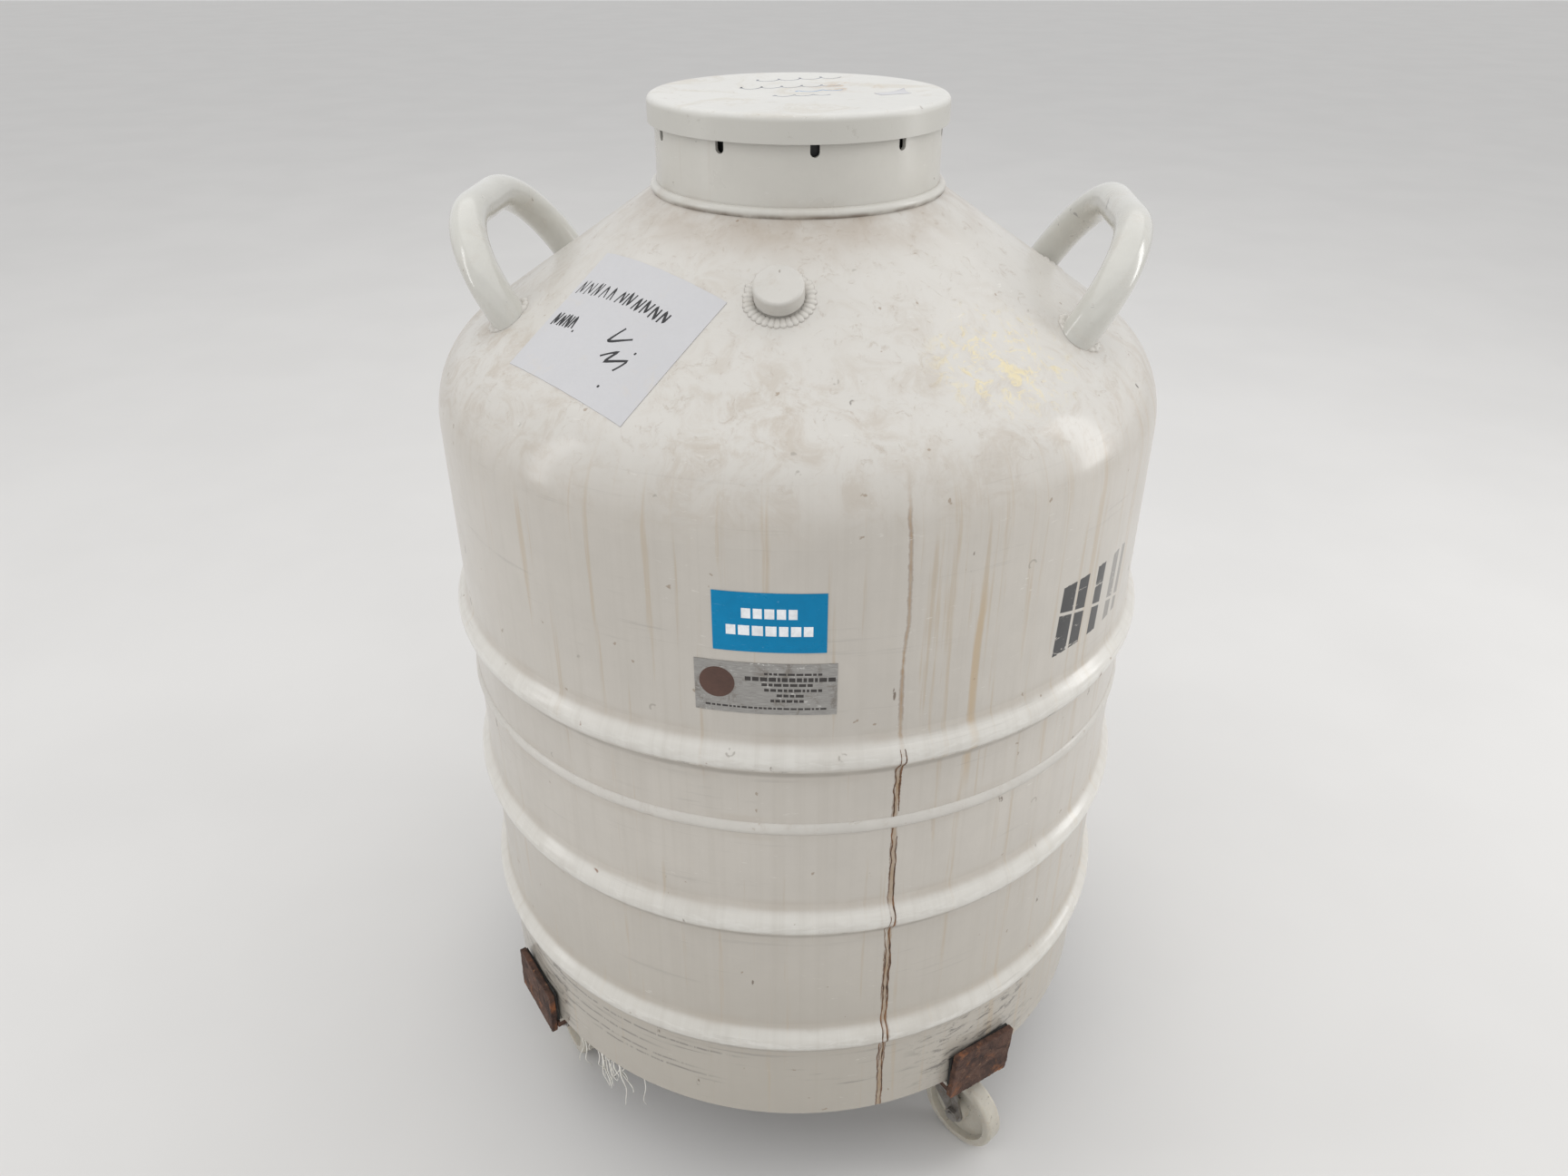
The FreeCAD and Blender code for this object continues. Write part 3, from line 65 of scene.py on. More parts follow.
class Graph:
    """A material under construction: each method adds one node and returns its output socket."""

    def __init__(self, name):
        self.material = bpy.data.materials.new(name)
        self.material.use_nodes = True
        self.nodes = self.material.node_tree.nodes
        self.links = self.material.node_tree.links
        self.shader = self.nodes["Principled BSDF"]
        self.place = self.node("ShaderNodeTexCoord").outputs["Object"]
        self.colour = None

    def node(self, kind, inputs=(), **settings):
        """Add a node, with its settings and with what feeds its inputs, by name or number."""
        made = self.nodes.new(kind)
        for key, value in settings.items():
            setattr(made, key, value)
        for socket, value in dict(inputs).items():
            self.feed(made.inputs[socket], value)
        return made

    def feed(self, socket, value):
        """Link a socket to another's output, or set its value."""
        if isinstance(value, bpy.types.NodeSocket):
            self.links.new(value, socket)
        elif socket.type == "RGBA":
            socket.default_value = (*value, 1)
        else:
            socket.default_value = value

    def math(self, operation, a, b=0.0):
        return self.node("ShaderNodeMath", {0: a, 1: b}, operation=operation).outputs[0]

    def add(self, a, b):
        return self.math("ADD", a, b)

    def subtract(self, a, b):
        return self.math("SUBTRACT", a, b)

    def times(self, a, b, *more):
        product = self.math("MULTIPLY", a, b)
        for factor in more:
            product = self.math("MULTIPLY", product, factor)
        return product

    def largest(self, a, b):
        return self.math("MAXIMUM", a, b)

    def ramp(self, value, low, high, out_low=0.0, out_high=1.0):
        """Smoothly remap a value, held at both ends."""
        inputs = enumerate((value, low, high, out_low, out_high))
        return self.node("ShaderNodeMapRange", inputs, interpolation_type="SMOOTHSTEP").outputs[0]

    def band(self, value, centre, half, soft):
        """1 within half of a centre, falling to 0 over soft."""
        away = self.math("ABSOLUTE", self.subtract(value, centre))
        return self.ramp(away, half, half + soft, 1.0, 0.0)

    def split(self, vector):
        return self.node("ShaderNodeSeparateXYZ", {0: vector}).outputs

    def join(self, x, y, z):
        return self.node("ShaderNodeCombineXYZ", {0: x, 1: y, 2: z}).outputs[0]

    def noise(self, scale, detail=4.0, roughness=0.55, distortion=0.0, vector=None):
        inputs = {"Vector": vector or self.place, "Scale": scale, "Detail": detail}
        inputs.update({"Roughness": roughness, "Distortion": distortion})
        return self.node("ShaderNodeTexNoise", inputs).outputs[0]

    def cells(self, scale, vector=None):
        """Voronoi distance and cell colour."""
        inputs = {"Vector": vector or self.place, "Scale": scale}
        made = self.node("ShaderNodeTexVoronoi", inputs)
        return made.outputs["Distance"], made.outputs["Color"]

    def specks(self, scale, size, share, vector=None):
        """Scattered uneven spots: a share of the cells of a Voronoi texture hold one."""
        place = vector or self.place
        wobble = self.node("ShaderNodeTexNoise", {"Vector": place, "Scale": scale * 2.6})
        inputs = {0: wobble.outputs["Color"], 1: [0.55 / scale] * 3, 2: place}
        bent = self.node("ShaderNodeVectorMath", inputs, operation="MULTIPLY_ADD")
        distance, tint = self.cells(scale, bent.outputs[0])
        chosen = self.math("GREATER_THAN", share, self.split(tint)[0])
        return self.times(self.ramp(distance, size * 0.6, size, 1.0, 0.0), chosen)

    def mix(self, factor, a, b, mode="MIX"):
        """Mix two colours; on this node their inputs are numbers 6 and 7, and the result is output 2."""
        inputs = {0: factor, 6: a, 7: b}
        return self.node("ShaderNodeMix", inputs, data_type="RGBA", blend_type=mode).outputs[2]

    def bump(self, height, strength, distance):
        inputs = {"Strength": strength, "Distance": distance, "Height": height}
        return self.node("ShaderNodeBump", inputs).outputs[0]

    def lay(self, tint, *masks):
        """Lay a tint over the colour so far, where the product of the masks says."""
        mask = self.times(*masks) if len(masks) > 1 else masks[0]
        self.colour = self.mix(mask, self.colour, tint)

    def finish(self, roughness, normal=None, metallic=0.0, **constants):
        self.feed(self.shader.inputs["Base Color"], self.colour)
        self.feed(self.shader.inputs["Roughness"], roughness)
        self.feed(self.shader.inputs["Metallic"], metallic)
        if normal is not None:
            self.feed(self.shader.inputs["Normal"], normal)
        for name, value in constants.items():
            self.feed(self.shader.inputs[name.replace("_", " ")], value)
        return self.material

    def cylinder(self):
        """Azimuth from the front in radians (towards +X), radius, and height of the place."""
        x, y, z = self.split(self.place)[:3]
        azimuth = self.math("ARCTAN2", x, self.times(y, -1.0))
        radius = self.math("SQRT", self.add(self.times(x, x), self.times(y, y)))
        return azimuth, radius, z


def cloudy(graph, base, amount, scales=(5.0, 38.0)):
    """A colour with slow and fine brightness changes."""
    slow = graph.ramp(graph.noise(scales[0], 5), 0.3, 0.7, 1 - amount, 1 + amount)
    fine = graph.ramp(graph.noise(scales[1], 6, 0.65), 0.25, 0.75, 1 - amount * 0.7, 1 + amount * 0.7)
    both = graph.times(slow, fine)
    return graph.mix(1.0, base, graph.join(both, both, both), "MULTIPLY")


def scratches(graph, across, along, scale, share):
    """Fine broken lines: a strongly stretched noise, thresholded."""
    x, y, z = graph.split(graph.place)[:3]
    stretched = graph.join(graph.times(x, along), graph.times(y, along), graph.times(z, across))
    lines = graph.noise(scale, 3, 0.6, 0.4, stretched)
    patches = graph.noise(scale * 0.12, 3)
    return graph.times(graph.ramp(lines, share, share + 0.05), graph.ramp(patches, 0.5, 0.62))


# ---------------------------------------------------------------------------------------------
# Materials of the vessel
# ---------------------------------------------------------------------------------------------

PAINT = (0.545, 0.51, 0.458)
GRIME = (0.33, 0.25, 0.175)
DUST = (0.46, 0.40, 0.33)
RUST = (0.22, 0.085, 0.035)
SCUFF = (0.24, 0.22, 0.2)


class ShellPaint(Graph):
    """The shell's enamel, with the places on the wall that its marks are laid out by."""

    def __init__(self):
        super().__init__("shell_paint")
        self.azimuth, self.radius, height = self.cylinder()
        self.level = self.subtract(height, SHELL_FOOT)
        self.wall = self.ramp(self.level, 0.545, 0.6, 1.0, 0.0)
        self.cone = self.subtract(1.0, self.wall)
        self.around = self.times(self.azimuth, SHELL_RADIUS)

    def unrolled(self, across, up, offset, detail, roughness=0.55, distortion=0.0):
        """Noise over the unrolled wall, with its own scale each way."""
        level = self.times(self.level, up)
        place = self.join(self.times(self.around, across), level, offset)
        return self.noise(1.0, detail, roughness, distortion, place)

    def wall_specks(self, across, up, offset, size, share):
        """Spots over the unrolled wall, with their own scale each way."""
        level = self.times(self.level, up)
        place = self.join(self.times(self.around, across), level, offset)
        return self.specks(1.0, size, share, place)


def cone_grime(g):
    """Mottled grime on the cone, neck and shoulder. Returns the mottle and the finer smears."""
    mottle = g.ramp(g.noise(34, 10, 0.74, 0.8), 0.44, 0.66)
    broad = g.ramp(g.noise(5.5, 4), 0.36, 0.66)
    g.lay(DUST, mottle, broad, g.cone, 0.62)
    smears = g.ramp(g.noise(85, 8, 0.78, 1.4), 0.54, 0.68)
    g.lay(GRIME, smears, g.cone, 0.4)
    near_neck = g.ramp(g.radius, 0.112, 0.15, 1.0, 0.0)
    g.lay(GRIME, near_neck, g.ramp(g.noise(30, 7), 0.3, 0.65), 0.45)
    g.lay(DUST, g.band(g.level, 0.585, 0.022, 0.03), mottle, 0.4)
    return mottle, smears


def yellow_patch(g):
    """Pale yellow scuffed patch on the right of the cone."""
    beside = g.subtract(g.azimuth, 0.66)
    out = g.times(g.subtract(g.radius, 0.216), 7.0)
    patch = g.ramp(g.add(g.times(beside, beside), g.times(out, out)), 0.0, 0.1, 1.0, 0.0)
    g.lay((0.72, 0.62, 0.36), patch, g.ramp(g.noise(85, 7, 0.7, 1.0), 0.5, 0.62), 0.75)


def thin_runs(g):
    """Thin tan runs down the wall, thicker on the right."""
    share = g.subtract(0.585, g.times(g.ramp(g.azimuth, 0.05, 0.7), 0.05))
    runs = g.ramp(g.unrolled(105.0, 3.2, 0.0, 5, 0.62), share, g.add(share, 0.1))
    g.lay((0.47, 0.375, 0.26), runs, g.wall, 0.5)


def long_run(g):
    """One long run from the shoulder to the floor edge, tan between two dark lines, and a faint twin."""
    sway = g.noise(1.0, 3, 0.6, 0.0, g.join(g.times(g.level, 17.0), 3.1, 0.0))
    straight = g.ramp(g.level, 0.0, 0.56, 0.2490, 0.2425)
    path = g.add(straight, g.times(g.subtract(sway, 0.5), 0.022))
    beside = g.times(g.math("ABSOLUTE", g.subtract(g.azimuth, path)), SHELL_RADIUS)
    ragged = g.add(beside, g.times(g.subtract(g.noise(260, 4), 0.5), 0.0022))
    length = g.ramp(g.level, 0.55, 0.585, 1.0, 0.0)
    width = g.ramp(g.level, 0.34, 0.46, 0.0019, 0.001)
    fill = g.ramp(g.subtract(ragged, width), -0.0012, 0.0006, 1.0, 0.0)
    g.lay((0.36, 0.25, 0.15), fill, length, g.ramp(g.noise(40, 5), 0.25, 0.7, 0.5, 1.0))
    edge = g.band(ragged, width, 0.0002, 0.0007)
    depth = g.ramp(g.level, 0.34, 0.42, 0.95, 0.3)
    g.lay((0.15, 0.075, 0.035), edge, length, depth, g.ramp(g.noise(32, 4), 0.34, 0.55))
    twin = g.times(g.math("ABSOLUTE", g.subtract(g.azimuth, g.add(path, 0.19))), SHELL_RADIUS)
    faint = g.times(g.ramp(twin, 0.0012, 0.004, 1.0, 0.0), g.band(g.level, 0.42, 0.05, 0.05))
    g.lay((0.5, 0.36, 0.2), faint, 0.55)


def rib_wear(g):
    """Polished crests, a painted highlight on each rib's upper flank and a painted shadow under it, dust
    darkened as painted crease shade in the hollows beside the ribs, dust at the seam, and rust spots.
    """
    crest = g.times(g.ramp(g.radius, SHELL_RADIUS + 0.0055, SHELL_RADIUS + 0.0082), g.wall)
    place = g.join(g.around, g.times(g.level, 4.0), 0.0)
    g.lay((0.74, 0.72, 0.67), crest, g.ramp(g.noise(48, 6, 0.7, 0.6, place), 0.44, 0.6), 0.65)
    for rib in RIB_LEVELS:
        # Painted highlight: the upper flank of each rib is laid lighter, where the light from above falls.
        lit = g.band(g.level, rib + 0.004, 0.006, 0.005)
        g.lay((0.74, 0.725, 0.68), lit, g.ramp(g.noise(21, 5), 0.25, 0.5, 0.6, 1.0), 0.6)
        # Painted shadow: a dark band under each rib, where its shade falls.
        dark = g.band(g.level, rib - 0.0115, 0.002, 0.0035)
        g.lay((0.25, 0.225, 0.19), dark, g.ramp(g.noise(33, 5), 0.3, 0.6, 0.55, 1.0), 0.55)
        # Dust in the hollows above and below each rib, also darkening them as painted crease shade.
        above = g.band(g.level, rib + 0.0165, 0.002, 0.006)
        below = g.band(g.level, rib - 0.0165, 0.002, 0.007)
        dirt = g.ramp(g.noise(26, 6, 0.65), 0.34, 0.66)
        g.lay(DUST, g.largest(above, g.times(below, 0.6)), dirt, 0.34)
        g.lay(RUST, g.specks(34, 0.1, 0.17), g.band(g.level, rib + 0.004, 0.007, 0.006), 0.9)
    seam = g.band(g.level, SEAM_LEVEL, 0.009, 0.004)
    g.lay(DUST, seam, g.ramp(g.noise(18, 6), 0.4, 0.66), 0.3)


def wall_knocks(g):
    """Rubs round the wall, dark specks, fine scratches, curls that also paint the shade of small dents,
    ticks, trails and streaks.
    """
    rubs = g.ramp(g.unrolled(6.0, 210.0, 0.0, 5, 0.7, 0.3), 0.57, 0.64)
    patch = g.ramp(g.unrolled(9.0, 22.0, 5.0, 4, 0.6), 0.48, 0.62)
    skirt = g.ramp(g.level, 0.05, 0.1, 1.0, 0.25)
    g.lay(SCUFF, rubs, patch, skirt, g.wall, 0.75)
    g.lay((0.25, 0.17, 0.1), g.specks(75, 0.13, 0.16), 0.6)
    g.lay((0.09, 0.075, 0.06), g.specks(24, 0.06, 0.07), 0.85)
    g.lay((0.76, 0.74, 0.69), scratches(g, 5.0, 1.0, 90, 0.66), 0.4)
    # Curled scuffs: dark arcs that also stand as the painted shade of small dents.
    distance, tint = g.cells(42)
    chosen = g.math("GREATER_THAN", 0.16, g.split(tint)[1])
    curls = g.times(g.band(distance, 0.13, 0.01, 0.035), chosen, g.ramp(g.noise(120, 2), 0.55, 0.6))
    g.lay((0.3, 0.27, 0.23), curls, 0.6)
    ticks = g.wall_specks(62.0, 24.0, 2.0, 0.13, 0.16)
    g.lay((0.13, 0.09, 0.06), ticks, g.wall, g.ramp(g.noise(300, 2), 0.4, 0.5), 0.85)
    trails = g.wall_specks(38.0, 4.5, 7.0, 0.1, 0.2)
    g.lay((0.36, 0.27, 0.18), trails, g.wall, g.ramp(g.noise(90, 5), 0.4, 0.7), 0.75)
    g.lay((0.4, 0.36, 0.3), g.ramp(g.unrolled(160.0, 2.0, 9.0, 5, 0.6), 0.4, 0.75), g.wall, 0.16)


def skirt_lines(g):
    """Long rubbed lines round the skirt on the left, each (level, left end, right end)."""
    lines = ((0.0695, -0.26, -0.03), (0.0555, -0.27, -0.1), (0.0445, -0.25, -0.07), (0.038, -0.2, -0.05))
    uneven = g.noise(1.0, 4, 0.6, 0.0, g.join(g.times(g.around, 16.0), 5.0, 0.0))
    sway = g.times(g.subtract(uneven, 0.5), 0.006)
    for level, left, right in lines:
        line = g.band(g.add(g.level, sway), level, 0.0006, 0.0009)
        ends = g.ramp(g.around, left, left + 0.03), g.ramp(g.around, right - 0.05, right, 1.0, 0.0)
        place = g.join(g.times(g.around, 90.0), level * 700, 0.0)
        broken = g.ramp(g.noise(1.0, 8, 0.8, 0.0, place), 0.42, 0.5)
        g.lay((0.2, 0.185, 0.165), line, g.times(*ends), broken, 0.72)


def lug_rubs(g):
    """Black rubs beside the four lugs."""
    for lug_turn in (-2.55, -0.977, 0.593, 2.164):
        beside = g.band(g.times(g.subtract(g.azimuth, lug_turn), SHELL_RADIUS), 0.0, 0.035, 0.05)
        low = g.band(g.level, 0.045, 0.02, 0.035)
        black = g.ramp(g.unrolled(55.0, 190.0, 4.0, 7, 0.75, 0.6), 0.5, 0.62)
        g.lay((0.1, 0.09, 0.08), beside, low, black, 0.75)


def rib_scrapes(g):
    """Black scrapes along the lower side of each rib's crest."""
    for rib in RIB_LEVELS:
        flank = g.band(g.level, rib - 0.0065, 0.0012, 0.0016)
        scrape = g.ramp(g.unrolled(70.0, 600.0, 3.0, 5, 0.75), 0.55, 0.6)
        place = g.join(g.times(g.around, 8.0), rib * 30, 3.0)
        g.lay((0.06, 0.055, 0.05), flank, scrape, g.ramp(g.noise(1.0, 3, 0.5, 0.0, place), 0.48, 0.58), 0.9)


def tally_bars(g):
    """Black stencilled bars on the right of the wall, with a stencil bridge; the last two nearly gone."""
    bars = (
        (0.2015, 0.0072, 1.0), (0.2185, 0.006, 1.0), (0.2425, 0.0055, 1.0), (0.2665, 0.0045, 0.55),
        (0.281, 0.003, 0.5),
    )
    marks = None
    for centre, half, strength in bars:
        slant = g.times(g.subtract(g.level, 0.4465), 0.06)
        bar = g.times(g.band(g.around, g.add(slant, centre), half, 0.0006), strength)
        marks = bar if marks is None else g.largest(marks, bar)
    tall = g.band(g.add(g.level, g.times(g.noise(220, 2), 0.002)), 0.4475, 0.0272, 0.0006)
    bridge = g.subtract(1.0, g.band(g.add(g.level, g.times(g.around, 0.25)), 0.502, 0.001, 0.0006))
    ink = g.ramp(g.unrolled(60.0, 160.0, 1.0, 6, 0.7, 0.5), 0.36, 0.4)
    g.lay((0.008, 0.008, 0.009), g.times(marks, tall, bridge), ink)


def shell_paint():
    """Cream enamel on the shell: grime on the cone, runs down the wall, wear and rust on the ribs."""
    g = ShellPaint()
    g.colour = cloudy(g, PAINT, 0.035)
    # Darker towards the floor: partly floor dirt, partly painted shade of the lower wall.
    g.lay((0.38, 0.345, 0.285), g.ramp(g.level, 0.0, 0.3, 1.0, 0.0), 0.55)
    # Painted sheen: the upward-facing cone is laid greyer and a little lighter than the wall, for the light
    # it catches.
    g.lay((0.6, 0.585, 0.55), g.cone, 0.6)
    mottle, smears = cone_grime(g)
    for mark in (yellow_patch, thin_runs, long_run, rib_wear, wall_knocks):
        mark(g)
    for mark in (skirt_lines, lug_rubs, rib_scrapes, tally_bars):
        mark(g)
    roughness = g.ramp(g.noise(14, 6), 0.3, 0.7, 0.3, 0.44)
    roughness = g.add(roughness, g.times(g.cone, g.ramp(mottle, 0.0, 1.0, 0.1, 0.26)))
    pits = g.add(g.times(g.noise(18, 5), 0.8), g.times(g.noise(160, 3, 0.5), 0.25))
    normal = g.bump(g.subtract(pits, g.times(smears, g.cone, 0.25)), 0.28, 0.0012)
    return g.finish(roughness, normal, 0.0, Coat_Weight=0.42, Coat_Roughness=0.15)


def small_part_paint(name, base, grime_amount, gloss, chips, coat=0.15):
    """Enamel on the handles, welds and cap, with its own grime, chips and orange peel."""
    g = Graph(name)
    g.colour = cloudy(g, base, 0.04, (9.0, 70.0))
    mottle = g.ramp(g.noise(42, 8, 0.7, 0.8), 0.5, 0.74)
    g.lay(DUST, mottle, grime_amount)
    g.lay(GRIME, g.ramp(g.noise(120, 7, 0.75), 0.6, 0.72), grime_amount)
    chip = g.times(g.ramp(g.noise(95, 5, 0.6, 0.6), 0.69, 0.72), chips)
    g.lay((0.3, 0.29, 0.27), chip)
    g.lay((0.16, 0.12, 0.08), g.specks(90, 0.1, 0.12), 0.55)
    roughness = g.add(g.ramp(g.noise(30, 6), 0.3, 0.7, gloss, gloss + 0.12), g.times(mottle, 0.18))
    height = g.add(g.times(g.noise(70, 4), 0.6), g.times(g.noise(320, 2), 0.2))
    normal = g.bump(g.subtract(height, g.times(chip, 0.8)), 0.3, 0.0008)
    return g.finish(roughness, normal, 0.0, Coat_Weight=coat, Coat_Roughness=0.12)


def collar_paint():
    """Cleaner enamel on the collar, with a dirty line at its foot and dark chips round the notches."""
    g = Graph("collar_paint")
    azimuth, radius, z = g.cylinder()
    g.colour = cloudy(g, (0.58, 0.562, 0.515), 0.025, (7.0, 60.0))
    foot = g.ramp(z, COLLAR_FOOT + 0.0005, COLLAR_FOOT + 0.004, 1.0, 0.0)
    foot_dirt = g.times(foot, g.ramp(g.noise(34, 6), 0.3, 0.62))
    g.lay((0.13, 0.09, 0.06), foot_dirt, 0.8)
    low = g.ramp(z, COLLAR_FOOT + 0.003, COLLAR_FOOT + 0.016, 1.0, 0.0)
    brown = g.times(low, g.ramp(g.noise(16, 6), 0.45, 0.7))
    g.lay(GRIME, brown, 0.35)
    rim = g.ramp(z, SHELL_FOOT + 0.725, SHELL_FOOT + 0.731)
    chip = g.times(rim, g.ramp(g.noise(150, 6, 0.7), 0.68, 0.72))
    g.lay((0.06, 0.05, 0.045), chip, 0.6)
    drips = g.noise(1.0, 4, 0.6, 0.0, g.join(g.times(azimuth, 14.0), g.times(z, 5.0), 0.0))
    g.lay(DUST, g.ramp(drips, 0.62, 0.75), 0.22)
    g.lay((0.2, 0.16, 0.12), g.specks(60, 0.07, 0.1), 0.6)
    hair = scratches(g, 4.0, 1.0, 110, 0.66)
    g.lay((0.75, 0.74, 0.7), hair, 0.35)
    # Painted shade: the collar's inner face, in the gap round the plug holder, is laid darker.
    inside = g.ramp(radius, 0.1003, 0.1012, 1.0, 0.0)
    g.lay((0.35, 0.34, 0.32), inside, 0.5)
    roughness = g.ramp(g.noise(20, 5), 0.3, 0.7, 0.27, 0.4)
    normal = g.bump(g.noise(90, 3), 0.18, 0.0006)
    return g.finish(roughness, normal, 0.0, Coat_Weight=0.2, Coat_Roughness=0.12)


def lid_paint():
    """Dirty matt enamel on the lid: stains on top, chipped edge, faded writing rubbed away."""
    g = Graph("lid_paint")
    _, radius, z = g.cylinder()
    x, y = g.split(g.place)[:2]
    top = g.ramp(z, LID_TOP - 0.004, LID_TOP - 0.001)
    g.colour = cloudy(g, (0.62, 0.61, 0.575), 0.03, (9.0, 60.0))
    stains = g.ramp(g.noise(15, 9, 0.7, 1.2), 0.5, 0.66)
    g.lay((0.53, 0.49, 0.42), stains, top, 0.55)
    rings = g.ramp(g.noise(52, 8, 0.75, 1.5), 0.58, 0.7)
    g.lay((0.42, 0.36, 0.28), rings, top, 0.45)
    brown_x, brown_y = g.subtract(x, 0.036), g.subtract(y, 0.022)
    spot = g.add(g.times(brown_x, brown_x), g.times(brown_y, brown_y))
    spot = g.times(g.ramp(spot, 0.0, 0.0011, 1.0, 0.0), g.ramp(g.noise(60, 7, 0.7, 0.8), 0.46, 0.6))
    g.lay((0.42, 0.27, 0.13), spot, 0.6)
    edge = g.band(radius, LID_RADIUS - 0.0012, 0.0012, 0.0024)
    chips = g.times(edge, g.ramp(g.noise(120, 6, 0.7), 0.62, 0.67))
    g.lay((0.3, 0.26, 0.22), chips, 0.6)
    skirt = g.subtract(1.0, top)
    # Painted shade: the lid's side is laid darker than its top, which takes more of the light.
    g.lay((0.53, 0.515, 0.47), skirt, 0.8)
    knocks = g.times(skirt, g.ramp(g.noise(85, 6, 0.7, 0.7), 0.64, 0.7))
    g.lay((0.36, 0.3, 0.24), knocks, 0.45)
    hair = scratches(g, 1.0, 6.0, 60, 0.62)
    g.lay((0.78, 0.77, 0.74), hair, top, 0.4)
    g.lay((0.22, 0.17, 0.12), g.specks(70, 0.08, 0.12), 0.5)
    roughness = g.add(g.ramp(stains, 0.0, 1.0, 0.36, 0.55), g.times(rings, 0.1))
    height = g.add(g.times(g.noise(26, 5), 0.6), g.times(g.noise(150, 3), 0.3))
    normal = g.bump(g.subtract(height, chips), 0.24, 0.0009)
    return g.finish(roughness, normal, 0.0, Coat_Weight=0.08, Coat_Roughness=0.3)


def blue_film():
    """Screen-printed blue film label, slightly scuffed."""
    g = Graph("blue_film")
    g.colour = cloudy(g, (0.0, 0.21, 0.43), 0.05, (20.0, 160.0))
    worn = g.ramp(g.noise(210, 6, 0.7), 0.66, 0.72)
    g.lay((0.3, 0.5, 0.64), worn, 0.3)
    g.lay((0.3, 0.5, 0.65), scratches(g, 4.0, 1.0, 160, 0.64), 0.3)
    roughness = g.ramp(g.noise(60, 5), 0.3, 0.7, 0.26, 0.4)
    return g.finish(roughness, g.bump(g.noise(120, 3), 0.1, 0.0004), Specular_IOR_Level=0.2)


def foil_film():
    """Grey metal foil label with brushed lines, tarnish and torn lacquer."""
    g = Graph("foil_film")
    azimuth, _, z = g.cylinder()
    brushed = g.noise(1.0, 4, 0.7, 0.0, g.join(g.times(azimuth, 30.0), g.times(z, 2400.0), 0.0))
    g.colour = g.mix(g.ramp(brushed, 0.3, 0.7), (0.27, 0.26, 0.25), (0.44, 0.43, 0.41))
    tarnish = g.ramp(g.noise(75, 8, 0.7, 0.7), 0.5, 0.66)
    g.lay((0.19, 0.16, 0.13), tarnish, 0.55)
    scraped = g.times(scratches(g, 3.0, 1.5, 190, 0.6), 0.8)
    g.lay((0.75, 0.74, 0.72), scraped)
    roughness = g.add(g.ramp(brushed, 0.3, 0.7, 0.28, 0.42), g.times(tarnish, 0.2))
    normal = g.bump(g.add(g.times(g.noise(45, 4), 0.7), g.times(brushed, 0.15)), 0.3, 0.0005)
    return g.finish(roughness, normal, 0.75)


def note_sheet():
    """White copier paper with faint folds, thumb marks and fibres."""
    g = Graph("note_sheet")
    g.colour = cloudy(g, (0.54, 0.536, 0.545), 0.018, (12.0, 240.0))
    smudge = g.ramp(g.noise(26, 8, 0.7, 1.2), 0.56, 0.74)
    g.lay((0.6, 0.55, 0.48), smudge, 0.4)
    g.lay((0.25, 0.2, 0.16), g.specks(120, 0.08, 0.03), 0.5)
    height = g.add(g.noise(11, 3), g.times(g.noise(420, 2), 0.2))
    return g.finish(0.72, g.bump(height, 0.35, 0.0012), Sheen_Weight=0.08)


def print_ink(name, colour, roughness=0.4):
    """Ink or paint of printed and drawn marks, unevenly laid."""
    g = Graph(name)
    g.colour = cloudy(g, colour, 0.12, (60.0, 400.0))
    return g.finish(roughness, g.bump(g.noise(300, 3), 0.15, 0.0002))


def run_crust():
    """Dried rusty crust along the long run."""
    g = Graph("run_crust")
    tone = g.ramp(g.noise(90, 6, 0.7), 0.35, 0.65)
    g.colour = g.mix(tone, (0.06, 0.03, 0.015), (0.24, 0.12, 0.055))
    return g.finish(0.75, g.bump(g.noise(500, 4), 0.5, 0.0003))


# ---------------------------------------------------------------------------------------------
# Materials inside the neck and under the vessel
# ---------------------------------------------------------------------------------------------


def bare_aluminium():
    """Spun aluminium with turning lines, dulled in patches."""
    g = Graph("bare_aluminium")
    azimuth, radius, z = g.cylinder()
    lathe = g.join(g.times(radius, 900.0), g.times(z, 900.0), g.times(azimuth, 1.5))
    turned = g.noise(1.0, 3, 0.6, 0.0, lathe)
    dull = g.ramp(g.noise(9, 6), 0.35, 0.7)
    g.colour = g.mix(dull, (0.62, 0.62, 0.62), (0.42, 0.41, 0.4))
    g.lay((0.8, 0.8, 0.8), g.ramp(turned, 0.4, 0.7), 0.15)
    roughness = g.add(g.ramp(dull, 0.0, 1.0, 0.34, 0.55), g.times(turned, 0.08))
    return g.finish(roughness, g.bump(turned, 0.2, 0.0003), 0.9)


def neck_laminate():
    """Amber glass-fibre laminate with its wound weave showing."""
    g = Graph("neck_laminate")
    azimuth, _, z = g.cylinder()
    warp = g.math("SINE", g.times(azimuth, 260.0))
    weft = g.math("SINE", g.times(z, 2600.0))
    weave = g.times(warp, weft)
    g.colour = g.mix(g.ramp(weave, -1.0, 1.0), (0.42, 0.36, 0.16), (0.52, 0.47, 0.26))
    g.lay((0.33, 0.26, 0.12), g.ramp(g.noise(20, 5), 0.4, 0.7), 0.3)
    return g.finish(0.34, g.bump(weave, 0.15, 0.0003), Coat_Weight=0.3)


def black_moulding():
    """Black moulded plastic with faint mould grain and dust; its near-black also paints the shade of the
    deep gap seen through the collar's notches.
    """
    g = Graph("black_moulding")
    dusty = g.ramp(g.noise(35, 7, 0.7), 0.5, 0.75)
    g.colour = g.mix(g.times(dusty, 0.35), (0.012, 0.012, 0.012), (0.1, 0.095, 0.09))
    return g.finish(g.ramp(dusty, 0.0, 1.0, 0.45, 0.7), g.bump(g.noise(380, 3), 0.25, 0.0003))


